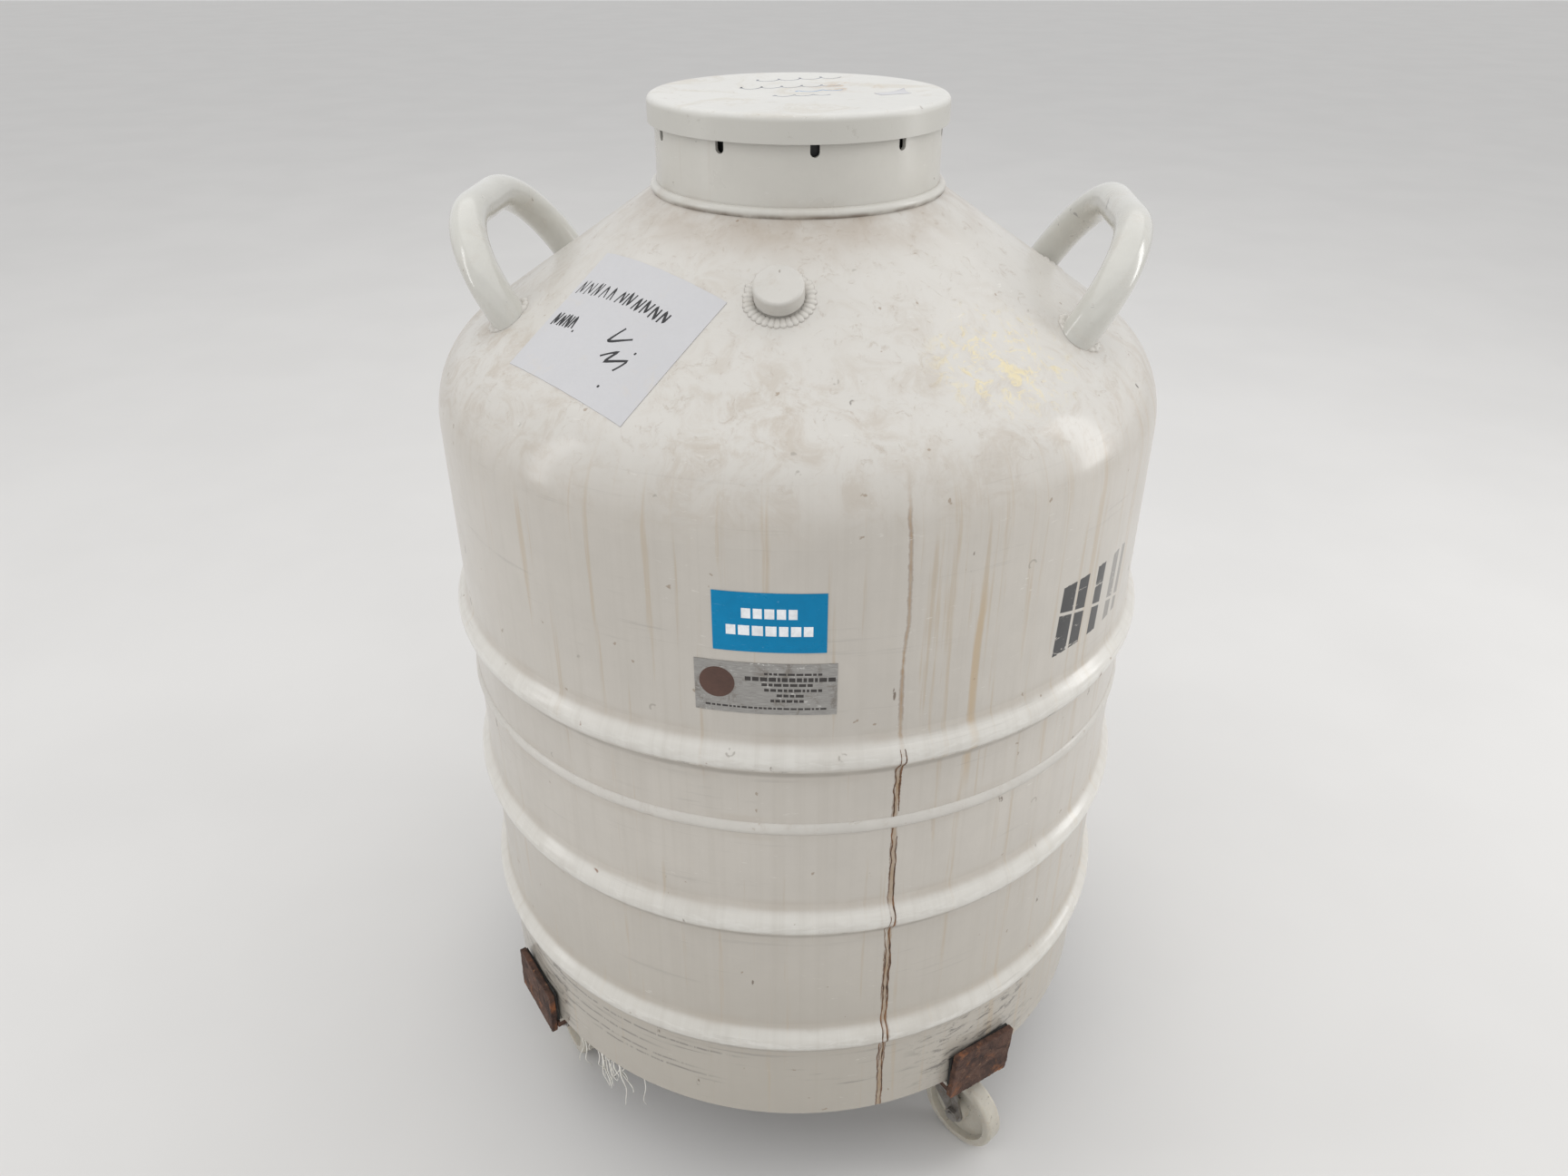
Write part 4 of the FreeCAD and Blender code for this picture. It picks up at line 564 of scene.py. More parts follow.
def plug_foam():
    """Expanded foam: packed beads, yellowed by use."""
    g = Graph("plug_foam")
    gap, _ = g.cells(260)
    g.colour = g.mix(g.ramp(gap, 0.1, 0.75), (0.83, 0.81, 0.72), (0.62, 0.58, 0.46))
    g.lay((0.66, 0.56, 0.36), g.ramp(g.noise(8, 6), 0.4, 0.7), 0.4)
    return g.finish(0.9, g.bump(g.times(gap, -1.0), 0.55, 0.0012))


def foil_wrap():
    """Crinkled reflective wrap of the vacuum space."""
    g = Graph("foil_wrap")
    crinkle, _ = g.cells(70)
    g.colour = cloudy(g, (0.78, 0.78, 0.8), 0.05)
    return g.finish(0.22, g.bump(crinkle, 0.8, 0.003), 0.95)


def flaking_rust(name, dark, orange_share):
    """Heavily rusted mill-scale steel: dark brown crust, orange bloom, pits."""
    g = Graph(name)
    crust = g.noise(55, 9, 0.72, 0.8)
    g.colour = g.mix(g.ramp(crust, 0.32, 0.62), dark, (0.1, 0.046, 0.028))
    bloom = g.times(g.ramp(g.noise(30, 8, 0.7, 0.6), 0.52, 0.66), orange_share)
    g.lay((0.36, 0.13, 0.045), bloom)
    powder = g.ramp(g.noise(180, 6, 0.7), 0.58, 0.72)
    g.lay((0.45, 0.25, 0.13), powder, 0.5)
    bare = g.times(g.ramp(g.noise(70, 5, 0.6), 0.7, 0.76), 0.7)
    g.lay((0.33, 0.27, 0.24), bare)
    roughness = g.ramp(crust, 0.3, 0.7, 0.95, 0.62)
    height = g.add(crust, g.times(g.noise(240, 6, 0.7), 0.5))
    return g.finish(roughness, g.bump(height, 0.9, 0.0022), g.times(bare, 0.5))


def zinc_plate():
    """Bright zinc plating gone dull, with white bloom, grease and rust at the edges."""
    g = Graph("zinc_plate")
    bloom = g.ramp(g.noise(60, 8, 0.7, 0.5), 0.42, 0.7)
    g.colour = g.mix(bloom, (0.36, 0.34, 0.32), (0.2, 0.18, 0.16))
    grease = g.ramp(g.noise(22, 6, 0.65), 0.5, 0.7)
    g.lay((0.13, 0.105, 0.08), grease, 0.65)
    rusty = g.ramp(g.noise(95, 7, 0.7), 0.62, 0.7)
    g.lay((0.27, 0.12, 0.05), rusty, 0.7)
    roughness = g.add(g.ramp(bloom, 0.0, 1.0, 0.3, 0.55), g.times(grease, 0.15))
    metallic = g.ramp(g.largest(rusty, g.times(grease, 0.6)), 0.0, 1.0, 0.85, 0.1)
    return g.finish(roughness, g.bump(g.noise(170, 5), 0.3, 0.0006), metallic)


def milky_nylon():
    """Natural nylon wheel: translucent, scuffed and grey, partly with floor dirt on the tread and partly as
    painted shade under the vessel.
    """
    g = Graph("milky_nylon")
    # Painted shade: the base tone is darkened for the wheel's place in the shade under the vessel.
    g.colour = cloudy(g, (0.5, 0.47, 0.405), 0.06, (30.0, 200.0))
    dirt = g.ramp(g.noise(75, 8, 0.72, 0.8), 0.48, 0.68)
    g.lay((0.42, 0.36, 0.28), dirt, 0.5)
    g.lay((0.2, 0.17, 0.14), g.ramp(g.noise(230, 5), 0.62, 0.7), 0.6)
    roughness = g.ramp(g.noise(50, 6), 0.3, 0.7, 0.3, 0.5)
    normal = g.bump(g.noise(210, 5), 0.35, 0.0006)
    return g.finish(
        roughness, normal, 0.0, Subsurface_Weight=0.5, Subsurface_Radius=(0.006, 0.005, 0.004),
        Subsurface_Scale=1.0,
    )


def black_rubber():
    """Perished black rubber strip."""
    g = Graph("black_rubber")
    dusty = g.ramp(g.noise(60, 8, 0.7), 0.48, 0.7)
    g.colour = g.mix(g.times(dusty, 0.5), (0.012, 0.012, 0.011), (0.085, 0.075, 0.065))
    return g.finish(0.82, g.bump(g.noise(160, 7, 0.7), 0.7, 0.0012))


def woven_pad():
    """Woven fibre pad, dirty white, its weave showing."""
    g = Graph("woven_pad")
    x, y = g.split(g.place)[:2]
    weave = g.times(g.math("SINE", g.times(x, 4200.0)), g.math("SINE", g.times(y, 4200.0)))
    g.colour = g.mix(g.ramp(weave, -1.0, 1.0), (0.4, 0.37, 0.31), (0.62, 0.59, 0.53))
    g.lay((0.2, 0.16, 0.12), g.ramp(g.noise(50, 6), 0.45, 0.7), 0.6)
    return g.finish(0.95, g.bump(weave, 0.5, 0.0006), Sheen_Weight=0.3)


def frayed_fibre():
    """Loose glass-white fibres with dirt along them."""
    g = Graph("frayed_fibre")
    dirt = g.ramp(g.noise(120, 5), 0.45, 0.7)
    g.colour = g.mix(g.times(dirt, 0.5), (0.78, 0.76, 0.7), (0.42, 0.38, 0.3))
    return g.finish(0.7, g.bump(g.noise(900, 2), 0.4, 0.0002), Sheen_Weight=0.2)


# ---------------------------------------------------------------------------------------------
# Mesh helpers
# ---------------------------------------------------------------------------------------------


def add_mesh(name, vertices, faces, material, smooth=True):
    mesh = bpy.data.meshes.new(name)
    mesh.from_pydata(vertices, [], faces)
    mesh.validate()
    mesh.update()
    for polygon in mesh.polygons:
        polygon.use_smooth = smooth
    mesh.materials.append(material)
    piece = bpy.data.objects.new(name, mesh)
    bpy.context.collection.objects.link(piece)
    return piece


def surface_of(*names):
    """A ray-castable surface over some CAD nodes."""
    vertices, faces = [], []
    for name in names:
        mesh = NODES[name].data
        start = len(vertices)
        vertices += [vertex.co.copy() for vertex in mesh.vertices]
        faces += [[start + index for index in polygon.vertices] for polygon in mesh.polygons]
    return BVHTree.FromPolygons(vertices, faces)


def outward(azimuth):
    """Unit vector from the vessel's axis at an azimuth in degrees, 0 at the front, + towards +X."""
    angle = math.radians(azimuth)
    return Vector((math.sin(angle), -math.cos(angle), 0))


def on_wall(surface, azimuth, z):
    """Point and normal of a surface seen from outside at an azimuth and height."""
    direction = outward(azimuth)
    start = direction * 0.6 + Vector((0, 0, z))
    point, normal, *_ = surface.ray_cast(start, -direction)
    return point, normal


def on_top(surface, x, y):
    """Point and normal of a surface seen from above."""
    point, normal, *_ = surface.ray_cast(Vector((x, y, 2.0)), Vector((0, 0, -1)))
    return point, normal


def ribbon(path, half_width, height, sink=0.00005):
    """Closed low strip laid along (point, normal) pairs: vertices and faces."""
    vertices, faces = [], []
    count = len(path)
    for i, (point, normal) in enumerate(path):
        ahead = path[min(i + 1, count - 1)][0]
        behind = path[max(i - 1, 0)][0]
        side = (ahead - behind).cross(normal).normalized()
        width = half_width(i / (count - 1)) if callable(half_width) else half_width
        for across, up in ((-1.0, -sink), (-0.75, height), (0.75, height), (1.0, -sink)):
            vertices.append(point + side * across * width + normal * up)
    for i in range(count - 1):
        a, b = 4 * i, 4 * (i + 1)
        faces += [(a + k, a + (k + 1) % 4, b + (k + 1) % 4, b + k) for k in range(4)]
    faces += [(3, 2, 1, 0), tuple(4 * (count - 1) + k for k in range(4))]
    return vertices, faces


def merge(parts):
    """Join several (vertices, faces) into one."""
    vertices, faces = [], []
    for part_vertices, part_faces in parts:
        start = len(vertices)
        vertices += part_vertices
        faces += [tuple(start + index for index in face) for face in part_faces]
    return vertices, faces


def tube(path, radius, sides=8):
    """Closed round tube along points, its radius a number or a function of 0..1."""
    vertices, faces = [], []
    count = len(path)
    reference = Vector((0.3, 0.2, 1)).normalized()
    for i, point in enumerate(path):
        along = (path[min(i + 1, count - 1)] - path[max(i - 1, 0)]).normalized()
        first = along.cross(reference).normalized()
        second = along.cross(first)
        size = radius(i / (count - 1)) if callable(radius) else radius
        for k in range(sides):
            angle = 2 * math.pi * k / sides
            vertices.append(point + (first * math.cos(angle) + second * math.sin(angle)) * size)
    for i in range(count - 1):
        a, b = sides * i, sides * (i + 1)
        faces += [(a + k, a + (k + 1) % sides, b + (k + 1) % sides, b + k) for k in range(sides)]
    faces += [tuple(range(sides))[::-1], tuple(sides * (count - 1) + k for k in range(sides))]
    return vertices, faces


def paint_nodes(material, *names):
    for name in names:
        mesh = NODES[name].data
        mesh.materials.clear()
        mesh.materials.append(material)


SHELL = surface_of("outer_shell_top", "outer_shell_base")


# ---------------------------------------------------------------------------------------------
# Welds
# ---------------------------------------------------------------------------------------------


def rippled_ring(centre, normal, radius, surface, size, ripples, seed, flat):
    """Weld bead round a stub: overlapping ripples that follow the surface under them."""
    first = normal.cross(Vector((0, 0, 1))).normalized()
    second = normal.cross(first).normalized()
    rows, columns = 8, ripples * 7
    vertices, faces = [], []
    for i in range(columns):
        turn = 2 * math.pi * i / columns
        phase = (i / columns * ripples) % 1
        wobble = noise.noise(Vector((seed, i * 0.11, 0)))
        scallop = math.sqrt(max(0.0, 1 - (2 * phase - 1) ** 2))
        bulge = size * (0.76 + 0.26 * scallop + 0.3 * wobble)
        rise = bulge * flat * (0.62 + 0.5 * scallop)
        out = first * math.cos(turn) + second * math.sin(turn)
        base = centre + out * (radius + bulge * 0.35)
        hit = surface.ray_cast(base + normal * 0.04, -normal)[0] or base
        for j in range(rows):
            angle = 2 * math.pi * j / rows
            offset = out * math.cos(angle) * bulge + normal * math.sin(angle) * rise
            vertices.append(hit + offset)
    for i in range(columns):
        a, b = rows * i, rows * ((i + 1) % columns)
        faces += [(a + j, a + (j + 1) % rows, b + (j + 1) % rows, b + j) for j in range(rows)]
    return vertices, faces


def seam_ring(level, radius, half, height):
    """Low bead round the wall, slightly uneven, its section an arc."""
    columns, rows = 360, 7
    vertices, faces = [], []
    for i in range(columns):
        angle = 2 * math.pi * i / columns
        rise = height * (1 + 0.12 * noise.noise(Vector((math.cos(angle) * 9, math.sin(angle) * 9, 4))))
        sway = 0.0005 * noise.noise(Vector((math.cos(angle) * 5, math.sin(angle) * 5, 9)))
        ahead = Vector((math.sin(angle), -math.cos(angle), 0))
        for j in range(rows):
            t = 2 * j / (rows - 1) - 1
            out = radius + (1 - t * t) * rise - 0.0002
            vertices.append(Vector((ahead.x * out, ahead.y * out, level + sway + t * half)))
        inner = radius - 0.0006
        for t in (1, -1):
            vertices.append(Vector((ahead.x * inner, ahead.y * inner, level + sway + t * half)))
    ring = rows + 2
    for i in range(columns):
        a, b = ring * i, ring * ((i + 1) % columns)
        faces += [(a + j, b + j, b + (j + 1) % ring, a + (j + 1) % ring) for j in range(ring)]
    return vertices, faces


def handle_feet():
    """Centre of each handle foot on the cone, from the tube's own mesh."""
    feet = []
    for name in ("handle_left", "handle_right"):
        low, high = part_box(name)
        vertices = [vertex.co for vertex in NODES[name].data.vertices]
        middle_y = (low[1] + high[1]) / 2
        for side in (-1, 1):
            leg = [v for v in vertices if (v.y - middle_y) * side > 0.03 and v.z < low[2] + 0.032]
            centre = sum(leg, Vector()) / len(leg)
            feet.append(centre)
    return feet


def cone_normal(centre):
    """Outward unit normal of the cone at a place on it."""
    turn = math.atan2(centre.x, -centre.y)
    out = Vector((math.sin(turn), -math.cos(turn), 0))
    return out * math.sin(CONE_SLOPE) + Vector((0, 0, math.cos(CONE_SLOPE)))


def welds():
    """The seam bead and the rippled beads at the handle feet and the evacuation port."""
    parts = [seam_ring(SHELL_FOOT + SEAM_LEVEL, SHELL_RADIUS - 0.0001, 0.0052, 0.0023)]
    for number, centre in enumerate(handle_feet()):
        parts.append(rippled_ring(centre, cone_normal(centre), 0.0137, SHELL, 0.0034, 15, number + 1, 0.6))
    low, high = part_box("vacuum_port_cap")
    centre = Vector([(a + b) / 2 for a, b in zip(low, high)])
    parts.append(rippled_ring(centre, cone_normal(centre), 0.0185, SHELL, 0.0042, 34, 9, 0.34))
    material = small_part_paint("weld_paint", (0.59, 0.565, 0.52), 0.5, 0.36, 0.2)
    piece = add_mesh("weld_beads", *merge(parts), material)
    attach(piece, "vessel")
    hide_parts("vessel_welds")


# ---------------------------------------------------------------------------------------------
# Labels, note and marks
# ---------------------------------------------------------------------------------------------


def printed_blocks(surface, azimuth, level, widths, height, gap):
    """A row of small solid blocks on the wall, centred on an azimuth: print that says nothing."""
    total = sum(widths) + gap * (len(widths) - 1)
    at = -total / 2
    parts = []
    for width in widths:
        path = []
        for k in range(5):
            along = at + width * k / 4
            path.append(on_wall(surface, azimuth + math.degrees(along / SHELL_RADIUS), level))
        parts.append(ribbon(path, height / 2, 0.00006, 0.00002))
        at += width + gap
    return parts


def label_print():
    """Pale blocks on the blue label, and dark blocks and a brown disc on the foil one."""
    rng = random.Random(4)
    low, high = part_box("blue_label")
    middle = (low[2] + high[2]) / 2
    blue_azimuth = -4.0
    blue = surface_of("blue_label")
    parts = []
    for level, count in ((middle + 0.0068, 5), (middle - 0.0058, 7)):
        widths = [0.0064 + rng.uniform(-0.001, 0.001) for _ in range(count)]
        parts += printed_blocks(blue, blue_azimuth, level, widths, 0.0078, 0.0016)
    piece = add_mesh("blue_label_print", *merge(parts), print_ink("label_white", (0.82, 0.84, 0.86)), False)
    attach(piece, "vessel")

    foil = surface_of("foil_label")
    low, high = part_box("foil_label")
    top, height = high[2], high[2] - low[2]
    parts = []
    rows = ((9, 0.0018), (13, 0.0034), (7, 0.0024), (10, 0.0024), (4, 0.0024), (6, 0.0024))
    for row, (count, size) in enumerate(rows):
        widths = [rng.uniform(0.0016, 0.0052) for _ in range(count)]
        level = top - height * (0.2 + 0.105 * row)
        azimuth = -0.9 - 0.4 * (row % 3)
        parts += printed_blocks(foil, azimuth, level, widths, size, 0.0009)
    widths = [rng.uniform(0.0015, 0.004) for _ in range(22)]
    parts += printed_blocks(foil, -4.6, top - height * 0.88, widths, 0.0016, 0.0009)
    piece = add_mesh("foil_label_print", *merge(parts), print_ink("label_dark", (0.035, 0.03, 0.028)), False)
    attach(piece, "vessel")

    disc = wall_disc(foil, -11.1, top - height * 0.42, 0.0118, 0.00008)
    piece = add_mesh("foil_label_disc", *disc, print_ink("label_brown", (0.085, 0.04, 0.028)), False)
    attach(piece, "vessel")


def wall_disc(surface, azimuth, level, radius, height, rings=5, sides=40):
    """Thin round patch lying on the wall."""
    vertices, faces = [], []
    for side in (1, -1):
        lift = height if side > 0 else -0.00002
        for ring in range(rings + 1):
            for k in range(sides):
                angle = 2 * math.pi * k / sides
                reach = radius * ring / rings
                turn = azimuth + math.degrees(reach * math.cos(angle) / SHELL_RADIUS)
                point, normal = on_wall(surface, turn, level + reach * math.sin(angle))
                vertices.append(point + normal * lift)
    for ring in range(rings):
        for k in range(sides):
            a, b = ring * sides, (ring + 1) * sides
            faces.append((a + k, b + k, b + (k + 1) % sides, a + (k + 1) % sides))
            c, e = a + (rings + 1) * sides, b + (rings + 1) * sides
            faces.append((c + k, c + (k + 1) % sides, e + (k + 1) % sides, e + k))
    rim, under = rings * sides, rings * sides + (rings + 1) * sides
    faces += [(rim + k, under + k, under + (k + 1) % sides, rim + (k + 1) % sides) for k in range(sides)]
    return vertices, faces


def scribble(start, end, height, loops, seed, slant=0.3, steps=14):
    """Points of an illegible looping pen line between two places on a sheet."""
    rng = random.Random(seed)
    along = (end - start)
    length = along.length
    along = along / length
    across = Vector((-along.y, along.x))
    points = []
    for i in range(loops * steps + 1):
        t = i / (loops * steps)
        loop = i // steps
        tall = 0.45 + 0.55 * noise.noise(Vector((seed * 3.1, loop * 1.7, 0))) ** 2 + rng.uniform(-0.02, 0.02)
        phase = 2 * math.pi * i / steps
        forward = length * t + 0.3 * height * math.cos(phase)
        up = height * tall * math.sin(phase) + 0.12 * height * noise.noise(Vector((seed, t * 9, 3)))
        points.append(start + along * (forward + slant * up) + across * up)
    return points


def pen_line(surface, points, half_width):
    return ribbon([on_top(surface, point.x, point.y) for point in points], half_width, 0.00005, 0.00003)


def smooth_stroke(corners, steps=7):
    """Points of one pen stroke that rounds its corners slightly."""
    points = []
    for k in range(len(corners) - 1):
        before = corners[max(k - 1, 0)]
        a, b = corners[k], corners[k + 1]
        after = corners[min(k + 2, len(corners) - 1)]
        for i in range(steps):
            t = i / steps
            straight = a.lerp(b, t)
            bow = (a - before + b - after) * (t * (1 - t) * 0.18)
            points.append(straight + bow)
    points.append(corners[-1])
    return points


def note_writing():
    """Black felt-pen strokes on the paper note that spell nothing."""
    surface = surface_of("paper_note")
    corners = note_corners()

    def at(u, v):
        top = corners[0].lerp(corners[1], u)
        bottom = corners[3].lerp(corners[2], u)
        return top.lerp(bottom, v)

    rng = random.Random(17)
    strokes = []
    for count, left, right, level, tall in ((11, 0.03, 0.8, 0.31, 0.12), (4, 0.05, 0.26, 0.59, 0.11)):
        for k in range(count):
            u = left + (right - left) * (k + 0.5) / count
            step = (right - left) / count
            size = tall * (1 - 0.2 * k / count)
            marks = [at(u - step * 0.45, level + size * 0.5)]
            for m in range(rng.choice((2, 3, 3))):
                reach = -0.4 + 0.9 * (m + 1) / 4
                rise = size * rng.uniform(0.32, 0.52) * (-1 if m % 2 == 0 else 1)
                marks.append(at(u + step * (reach + rng.uniform(-0.1, 0.1)), level + rise))
            strokes.append(smooth_stroke(marks))
    strokes.append(smooth_stroke([at(0.6, 0.49), at(0.55, 0.61), at(0.6, 0.59), at(0.69, 0.53)]))
    corner_mark = [at(0.58, 0.72), at(0.67, 0.64), at(0.63, 0.74), at(0.76, 0.66), at(0.72, 0.76)]
    strokes.append(smooth_stroke(corner_mark))
    strokes.append([at(0.262 + 0.006 * k, 0.65) for k in range(3)])
    strokes.append([at(0.762 + 0.006 * k, 0.597) for k in range(3)])
    strokes.append([at(0.708 + 0.007 * k, 0.887) for k in range(3)])
    parts = []
    for index, stroke in enumerate(strokes):
        bold = 0.00062 + 0.00042 * min(index, 11) / 11

        def swell(t, bold=bold):
            return bold * (0.6 + 0.55 * math.sin(math.pi * min(max(t, 0.12), 0.88)))

        parts.append(pen_line(surface, stroke, swell))
    piece = add_mesh("note_writing", *merge(parts), print_ink("felt_pen", (0.012, 0.012, 0.014), 0.5))
    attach(piece, "vessel")


def note_corners():
    """Plan places of the note's corners: upper left, upper right, lower right, lower left."""
    vertices = [vertex.co.xy for vertex in NODES["paper_note"].data.vertices]
    upper = max(vertices, key=lambda place: place.dot(Vector((0.35, 1))))
    right = max(vertices, key=lambda place: place.dot(Vector((1, -0.2))))
    lower = min(vertices, key=lambda place: place.dot(Vector((0.1, 1))))
    left = min(vertices, key=lambda place: place.dot(Vector((1, -0.1))))
    return [corner.copy() for corner in (upper, right, lower, left)]


def lid_marks():
    """Faded pencil and blue-pen scribbles on the lid, and a blank sticker."""
    surface = surface_of("lid_cover")
    pencil = [
        scribble(Vector((-0.034, 0.052)), Vector((0.03, 0.075)), 0.012, 4, 31),
        scribble(Vector((-0.045, 0.012)), Vector((0.028, 0.03)), 0.010, 5, 35),
        scribble(Vector((-0.02, -0.026)), Vector((0.02, -0.018)), 0.007, 3, 37),
    ]
    parts = [pen_line(surface, line, 0.0008) for line in pencil]
    piece = add_mesh("lid_pencil", *merge(parts), print_ink("pencil_grey", (0.24, 0.25, 0.28), 0.6))
    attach(piece, "lid")
    blue = [scribble(Vector((-0.004, -0.004)), Vector((0.03, 0.006)), 0.006, 2, 44)]
    parts = [pen_line(surface, line, 0.0008) for line in blue]
    piece = add_mesh("lid_blue_pen", *merge(parts), print_ink("pen_blue", (0.13, 0.27, 0.48), 0.6))
    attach(piece, "lid")
    sticker = curled_sheet(Vector((0.066, -0.012, LID_TOP)), 0.024, 0.011, math.radians(24))
    piece = add_mesh("lid_sticker", *sticker, note_sheet())
    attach(piece, "lid")


def curled_sheet(centre, length, width, turn, columns=14, rows=8, thickness=0.00012):
    """Small paper label with one corner lifting."""
    vertices, faces = [], []
    spin = Matrix.Rotation(turn, 4, "Z")
    for side in (1, 0):
        for i in range(columns + 1):
            for j in range(rows + 1):
                u, v = i / columns, j / rows
                lift = 0.0012 * max(0.0, u + v - 1.45) ** 2 * 6
                local = Vector(((u - 0.5) * length, (v - 0.5) * width, lift + thickness * side + 0.00004))
                vertices.append(centre + spin @ local)
    wide = rows + 1
    layer = (columns + 1) * wide
    for i in range(columns):
        for j in range(rows):
            a = i * wide + j
            faces.append((a, a + wide, a + wide + 1, a + 1))
            faces.append((layer + a, layer + a + 1, layer + a + wide + 1, layer + a + wide))
    border = [i * wide for i in range(columns)] + [columns * wide + j for j in range(rows)]
    border += [i * wide + rows for i in range(columns, 0, -1)] + list(range(rows, 0, -1))
    for k, a in enumerate(border):
        b = border[(k + 1) % len(border)]
        faces.append((a, layer + a, layer + b, b))
    return vertices, faces


def crust_paths(side):
    """Unbroken stretches of crust on one side of the long run, each a list of (point, normal)."""
    reach, foot_gap, steps, shortest = 0.385, 0.0015, 360, 6
    paths, current = [], []
    for k in range(steps):
        level = reach * (1 - k / (steps - 1)) + foot_gap
        gap = noise.noise(Vector((side * 7.0, level * 14, 2.0))) < -0.22 - 0.3 * (0.5 - level)
        if gap and level > 0.12:
            paths.append(current)
            current = []
            continue
        slow = noise.noise(Vector((level * 26, 3.1, 0)))
        sway = 0.0019 * slow + 0.0007 * noise.noise(Vector((level * 120, side, 0)))
        share = min(max(level / 0.56, 0), 1)
        turn = 14.27 - 0.37 * share + math.degrees(sway / SHELL_RADIUS) * 1.4
        apart = 0.0019 - 0.0003 * share
        turn += side * math.degrees(apart / SHELL_RADIUS)
        point, normal = on_wall(SHELL, turn, SHELL_FOOT + level)
        if point is not None:
            current.append((point, normal))
    return [path for path in paths + [current] if len(path) > shortest]


def run_lines():
    """Raised dried crust along the two sides of the long run down the wall."""
    parts = []
    for side in (-1, 1):
        rng = random.Random(side + 5)
        for index, path in enumerate(crust_paths(side)):
            bulk = rng.uniform(0.0005, 0.00085)

            def width(t, bulk=bulk, index=index):
                taper = 0.35 + 0.65 * math.sin(math.pi * min(max(t, 0.02), 0.98))
                return bulk * taper * (0.8 + 0.4 * math.sin(t * 61 + index) ** 2)

            parts.append(ribbon(path, width, 0.00022))
    piece = add_mesh("run_crust", *merge(parts), run_crust())
    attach(piece, "vessel")


# ---------------------------------------------------------------------------------------------
# Trolley
# ---------------------------------------------------------------------------------------------


def rough_plate(name, node, material):
    """A lug with pitted faces and ragged edges, grown from the CAD plate it stands for."""
    source = NODES[node]
    piece = bpy.data.objects.new(name, source.data.copy())
    bpy.context.collection.objects.link(piece)
    bm = bmesh.new()
    bm.from_mesh(piece.data)
    bmesh.ops.remove_doubles(bm, verts=bm.verts, dist=0.00001)
    bmesh.ops.dissolve_limit(bm, angle_limit=math.radians(1), verts=bm.verts, edges=bm.edges)
    bm.to_mesh(piece.data)
    bm.free()
    remesh = piece.modifiers.new("grain", "REMESH")
    remesh.mode = "VOXEL"
    remesh.voxel_size = 0.0011
    evaluated = piece.evaluated_get(bpy.context.evaluated_depsgraph_get())
    mesh = bpy.data.meshes.new_from_object(evaluated)
    piece.modifiers.clear()
    piece.data = mesh
    seed = float(node[-1]) * 10
    normals = [vertex.normal.copy() for vertex in mesh.vertices]
    for vertex, normal in zip(mesh.vertices, normals):
        place = vertex.co * 1000
        coarse = noise.noise(place * 0.11 + Vector((seed, 0, 0)))
        pits = noise.noise(place * 0.42 + Vector((0, seed, 0)))
        vertex.co -= normal * (0.0003 + 0.00042 * max(0.0, coarse) + 0.0003 * max(0.0, pits))
    for polygon in mesh.polygons:
        polygon.use_smooth = True
    mesh.materials.clear()
    mesh.materials.append(material)
    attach(piece, "trolley")
    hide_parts(node)


def frayed_strands():
    """White fibres that hang from the pad under the front-left of the skirt."""
    rng = random.Random(11)
    parts = []
    for k in range(19):
        azimuth = rng.gauss(-38.5, 3.2)
        drop = rng.uniform(0.014, 0.032)
        if k == 4:
            azimuth, drop = -33.5, 0.046
        swing = outward(azimuth) * rng.uniform(-0.002, 0.008)
        swing += outward(azimuth + 90) * rng.gauss(0.003, 0.008)
        curl = rng.uniform(0.001, 0.0042)
        start = outward(azimuth) * (SHELL_RADIUS - 0.0012) + Vector((0, 0, SHELL_FOOT + 0.0015))
        path = []
        for i in range(13):
            t = i / 12
            twist = Vector((math.sin(t * 7 + k), math.cos(t * 6 + 2 * k), 0)) * curl * t
            path.append(start + swing * t ** 1.4 + twist + Vector((0, 0, -drop * t)))
        thick = rng.uniform(0.0004, 0.00085)
        parts.append(tube(path, lambda t, w=thick: w * (1 - 0.55 * t), 6))
    piece = add_mesh("pad_fray", *merge(parts), frayed_fibre())
    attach(piece, "trolley")


# ---------------------------------------------------------------------------------------------
# Stage, lights and camera
# ---------------------------------------------------------------------------------------------


def stage():
    floor_graph = Graph("studio_floor")
    tone = floor_graph.ramp(floor_graph.noise(3, 3), 0.3, 0.7, 0.985, 1.015)
    tones = floor_graph.join(tone, tone, tone)
    floor_graph.colour = floor_graph.mix(1.0, (0.65, 0.64, 0.625), tones, "MULTIPLY")
    material = floor_graph.finish(0.75)
    size = 14.0
    corners = [(-size, -size, 0), (size, -size, 0), (size, size, 0), (-size, size, 0)]
    floor = add_mesh("studio_floor", corners, [(0, 1, 2, 3)], material, False)

    world = bpy.data.worlds.new("studio")
    world.use_nodes = True
    background = world.node_tree.nodes["Background"]
    background.inputs["Color"].default_value = (0.985, 0.99, 1.0, 1)
    background.inputs["Strength"].default_value = 0.8
    bpy.context.scene.world = world

    add_light("ceiling", (0.1, 0.2, 2.9), (0, 0.2, 0.5), 5.0, 4.6, 46)
    add_light("left_window", (-2.2, -0.5, 1.25), (0, 0, 0.5), 0.3, 1.7, 6)
    add_light("right_window", (2.2, 0.1, 1.2), (0, 0, 0.5), 0.5, 1.6, 11)
    add_light("front_fill", (0.3, -2.6, 1.5), (0, 0, 0.4), 1.6, 1.2, 1.5)


def add_light(name, place, target, width, height, power):
    data = bpy.data.lights.new(name, "AREA")
    data.shape = "RECTANGLE"
    data.size, data.size_y = width, height
    data.energy = power
    light = bpy.data.objects.new(name, data)
    light.location = place
    direction = Vector(target) - Vector(place)
    light.rotation_euler = direction.to_track_quat("-Z", "Y").to_euler()
    bpy.context.collection.objects.link(light)


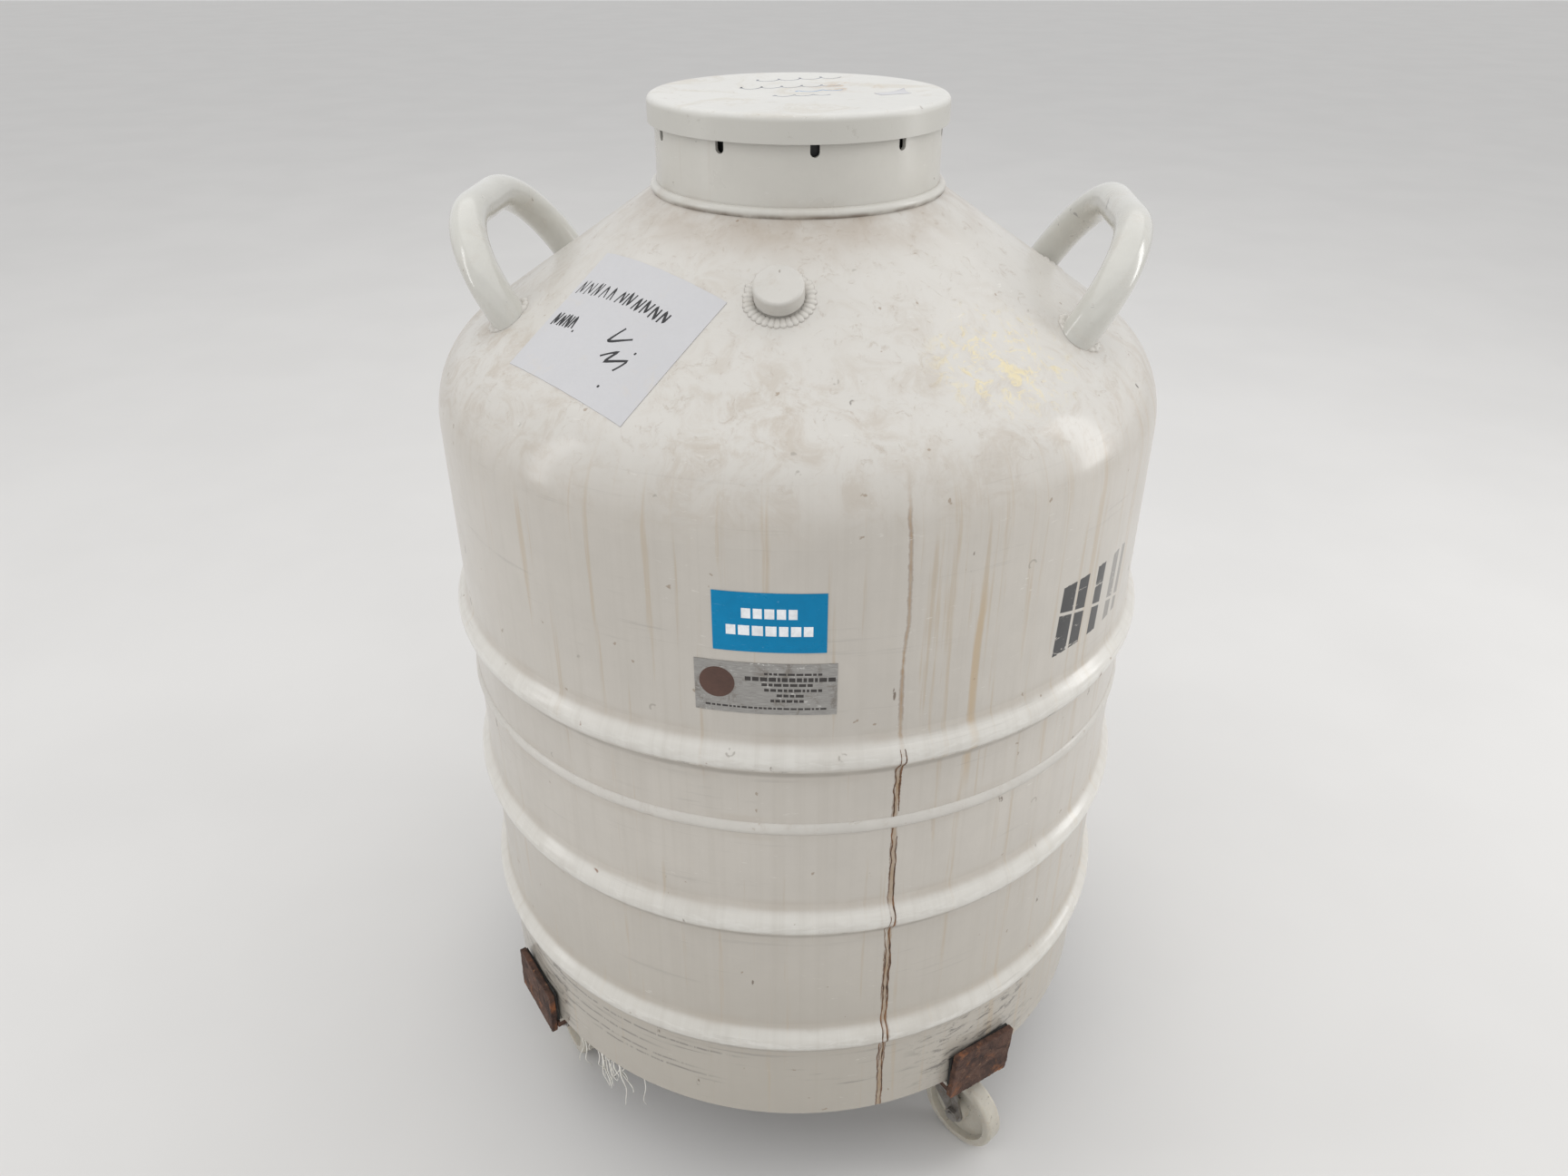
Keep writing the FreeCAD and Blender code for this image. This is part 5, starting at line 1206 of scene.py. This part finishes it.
def camera():
    data = bpy.data.cameras.new("camera")
    data.sensor_width = 36
    data.lens = 26.56
    made = bpy.data.objects.new("camera", data)
    made.location = (-0.0103, -0.8878, 0.9827)
    made.rotation_euler = (math.radians(59.295), 0, 0)
    bpy.context.collection.objects.link(made)
    bpy.context.scene.camera = made


# ---------------------------------------------------------------------------------------------
# Putting it together
# ---------------------------------------------------------------------------------------------


def paint_frame():
    paint_nodes(shell_paint(), "outer_shell_top", "outer_shell_base")
    paint_nodes(collar_paint(), "neck_collar")
    paint_nodes(lid_paint(), "lid_cover")
    handle = small_part_paint("handle_paint", (0.56, 0.55, 0.505), 0.25, 0.14, 0.8, 0.55)
    paint_nodes(handle, "handle_left", "handle_right")
    cap = small_part_paint("cap_paint", (0.56, 0.54, 0.5), 0.6, 0.42, 0.2)
    paint_nodes(cap, "vacuum_port_cap", "vacuum_port_boss")
    aluminium = bare_aluminium()
    paint_nodes(
        aluminium,
        "outer_bottom_head",
        "inner_vessel_top",
        "inner_vessel_base",
        "canister_spider",
        "vacuum_port_plug",
    )
    paint_nodes(neck_laminate(), "neck_tube")
    paint_nodes(foil_wrap(), "insulation_blanket", "adsorbent_pouch")
    paint_nodes(black_moulding(), "plug_holder")
    paint_nodes(plug_foam(), "neck_plug")
    paint_nodes(blue_film(), "blue_label")
    paint_nodes(foil_film(), "foil_label")
    paint_nodes(note_sheet(), "paper_note")
    rubber = black_rubber()
    paint_nodes(rubber, "vacuum_port_oring", "lug_liners")
    bars = flaking_rust("bar_rust", (0.05, 0.035, 0.028), 0.5)
    paint_nodes(bars, "trolley_bar_long", "trolley_bar_left", "trolley_bar_right", "trolley_welds")
    paint_nodes(woven_pad(), "support_pads")
    zinc = zinc_plate()
    paint_nodes(zinc, "caster_bolts", "caster_nuts")
    nylon = milky_nylon()
    for number in range(1, 5):
        for part in ("plate", "kingpin", "balls", "fork", "axle"):
            paint_nodes(zinc, f"caster_{part}_{number}")
        paint_nodes(nylon, f"caster_wheel_{number}")


camera()
stage()
paint_frame()
welds()
label_print()
note_writing()
lid_marks()
run_lines()
lug_rust = flaking_rust("lug_rust", (0.035, 0.02, 0.016), 0.8)
for lug in range(1, 5):
    rough_plate(f"rusty_lug_{lug}", f"trolley_lug_{lug}", lug_rust)
frayed_strands()
bpy.context.scene.view_settings.view_transform = "Standard"
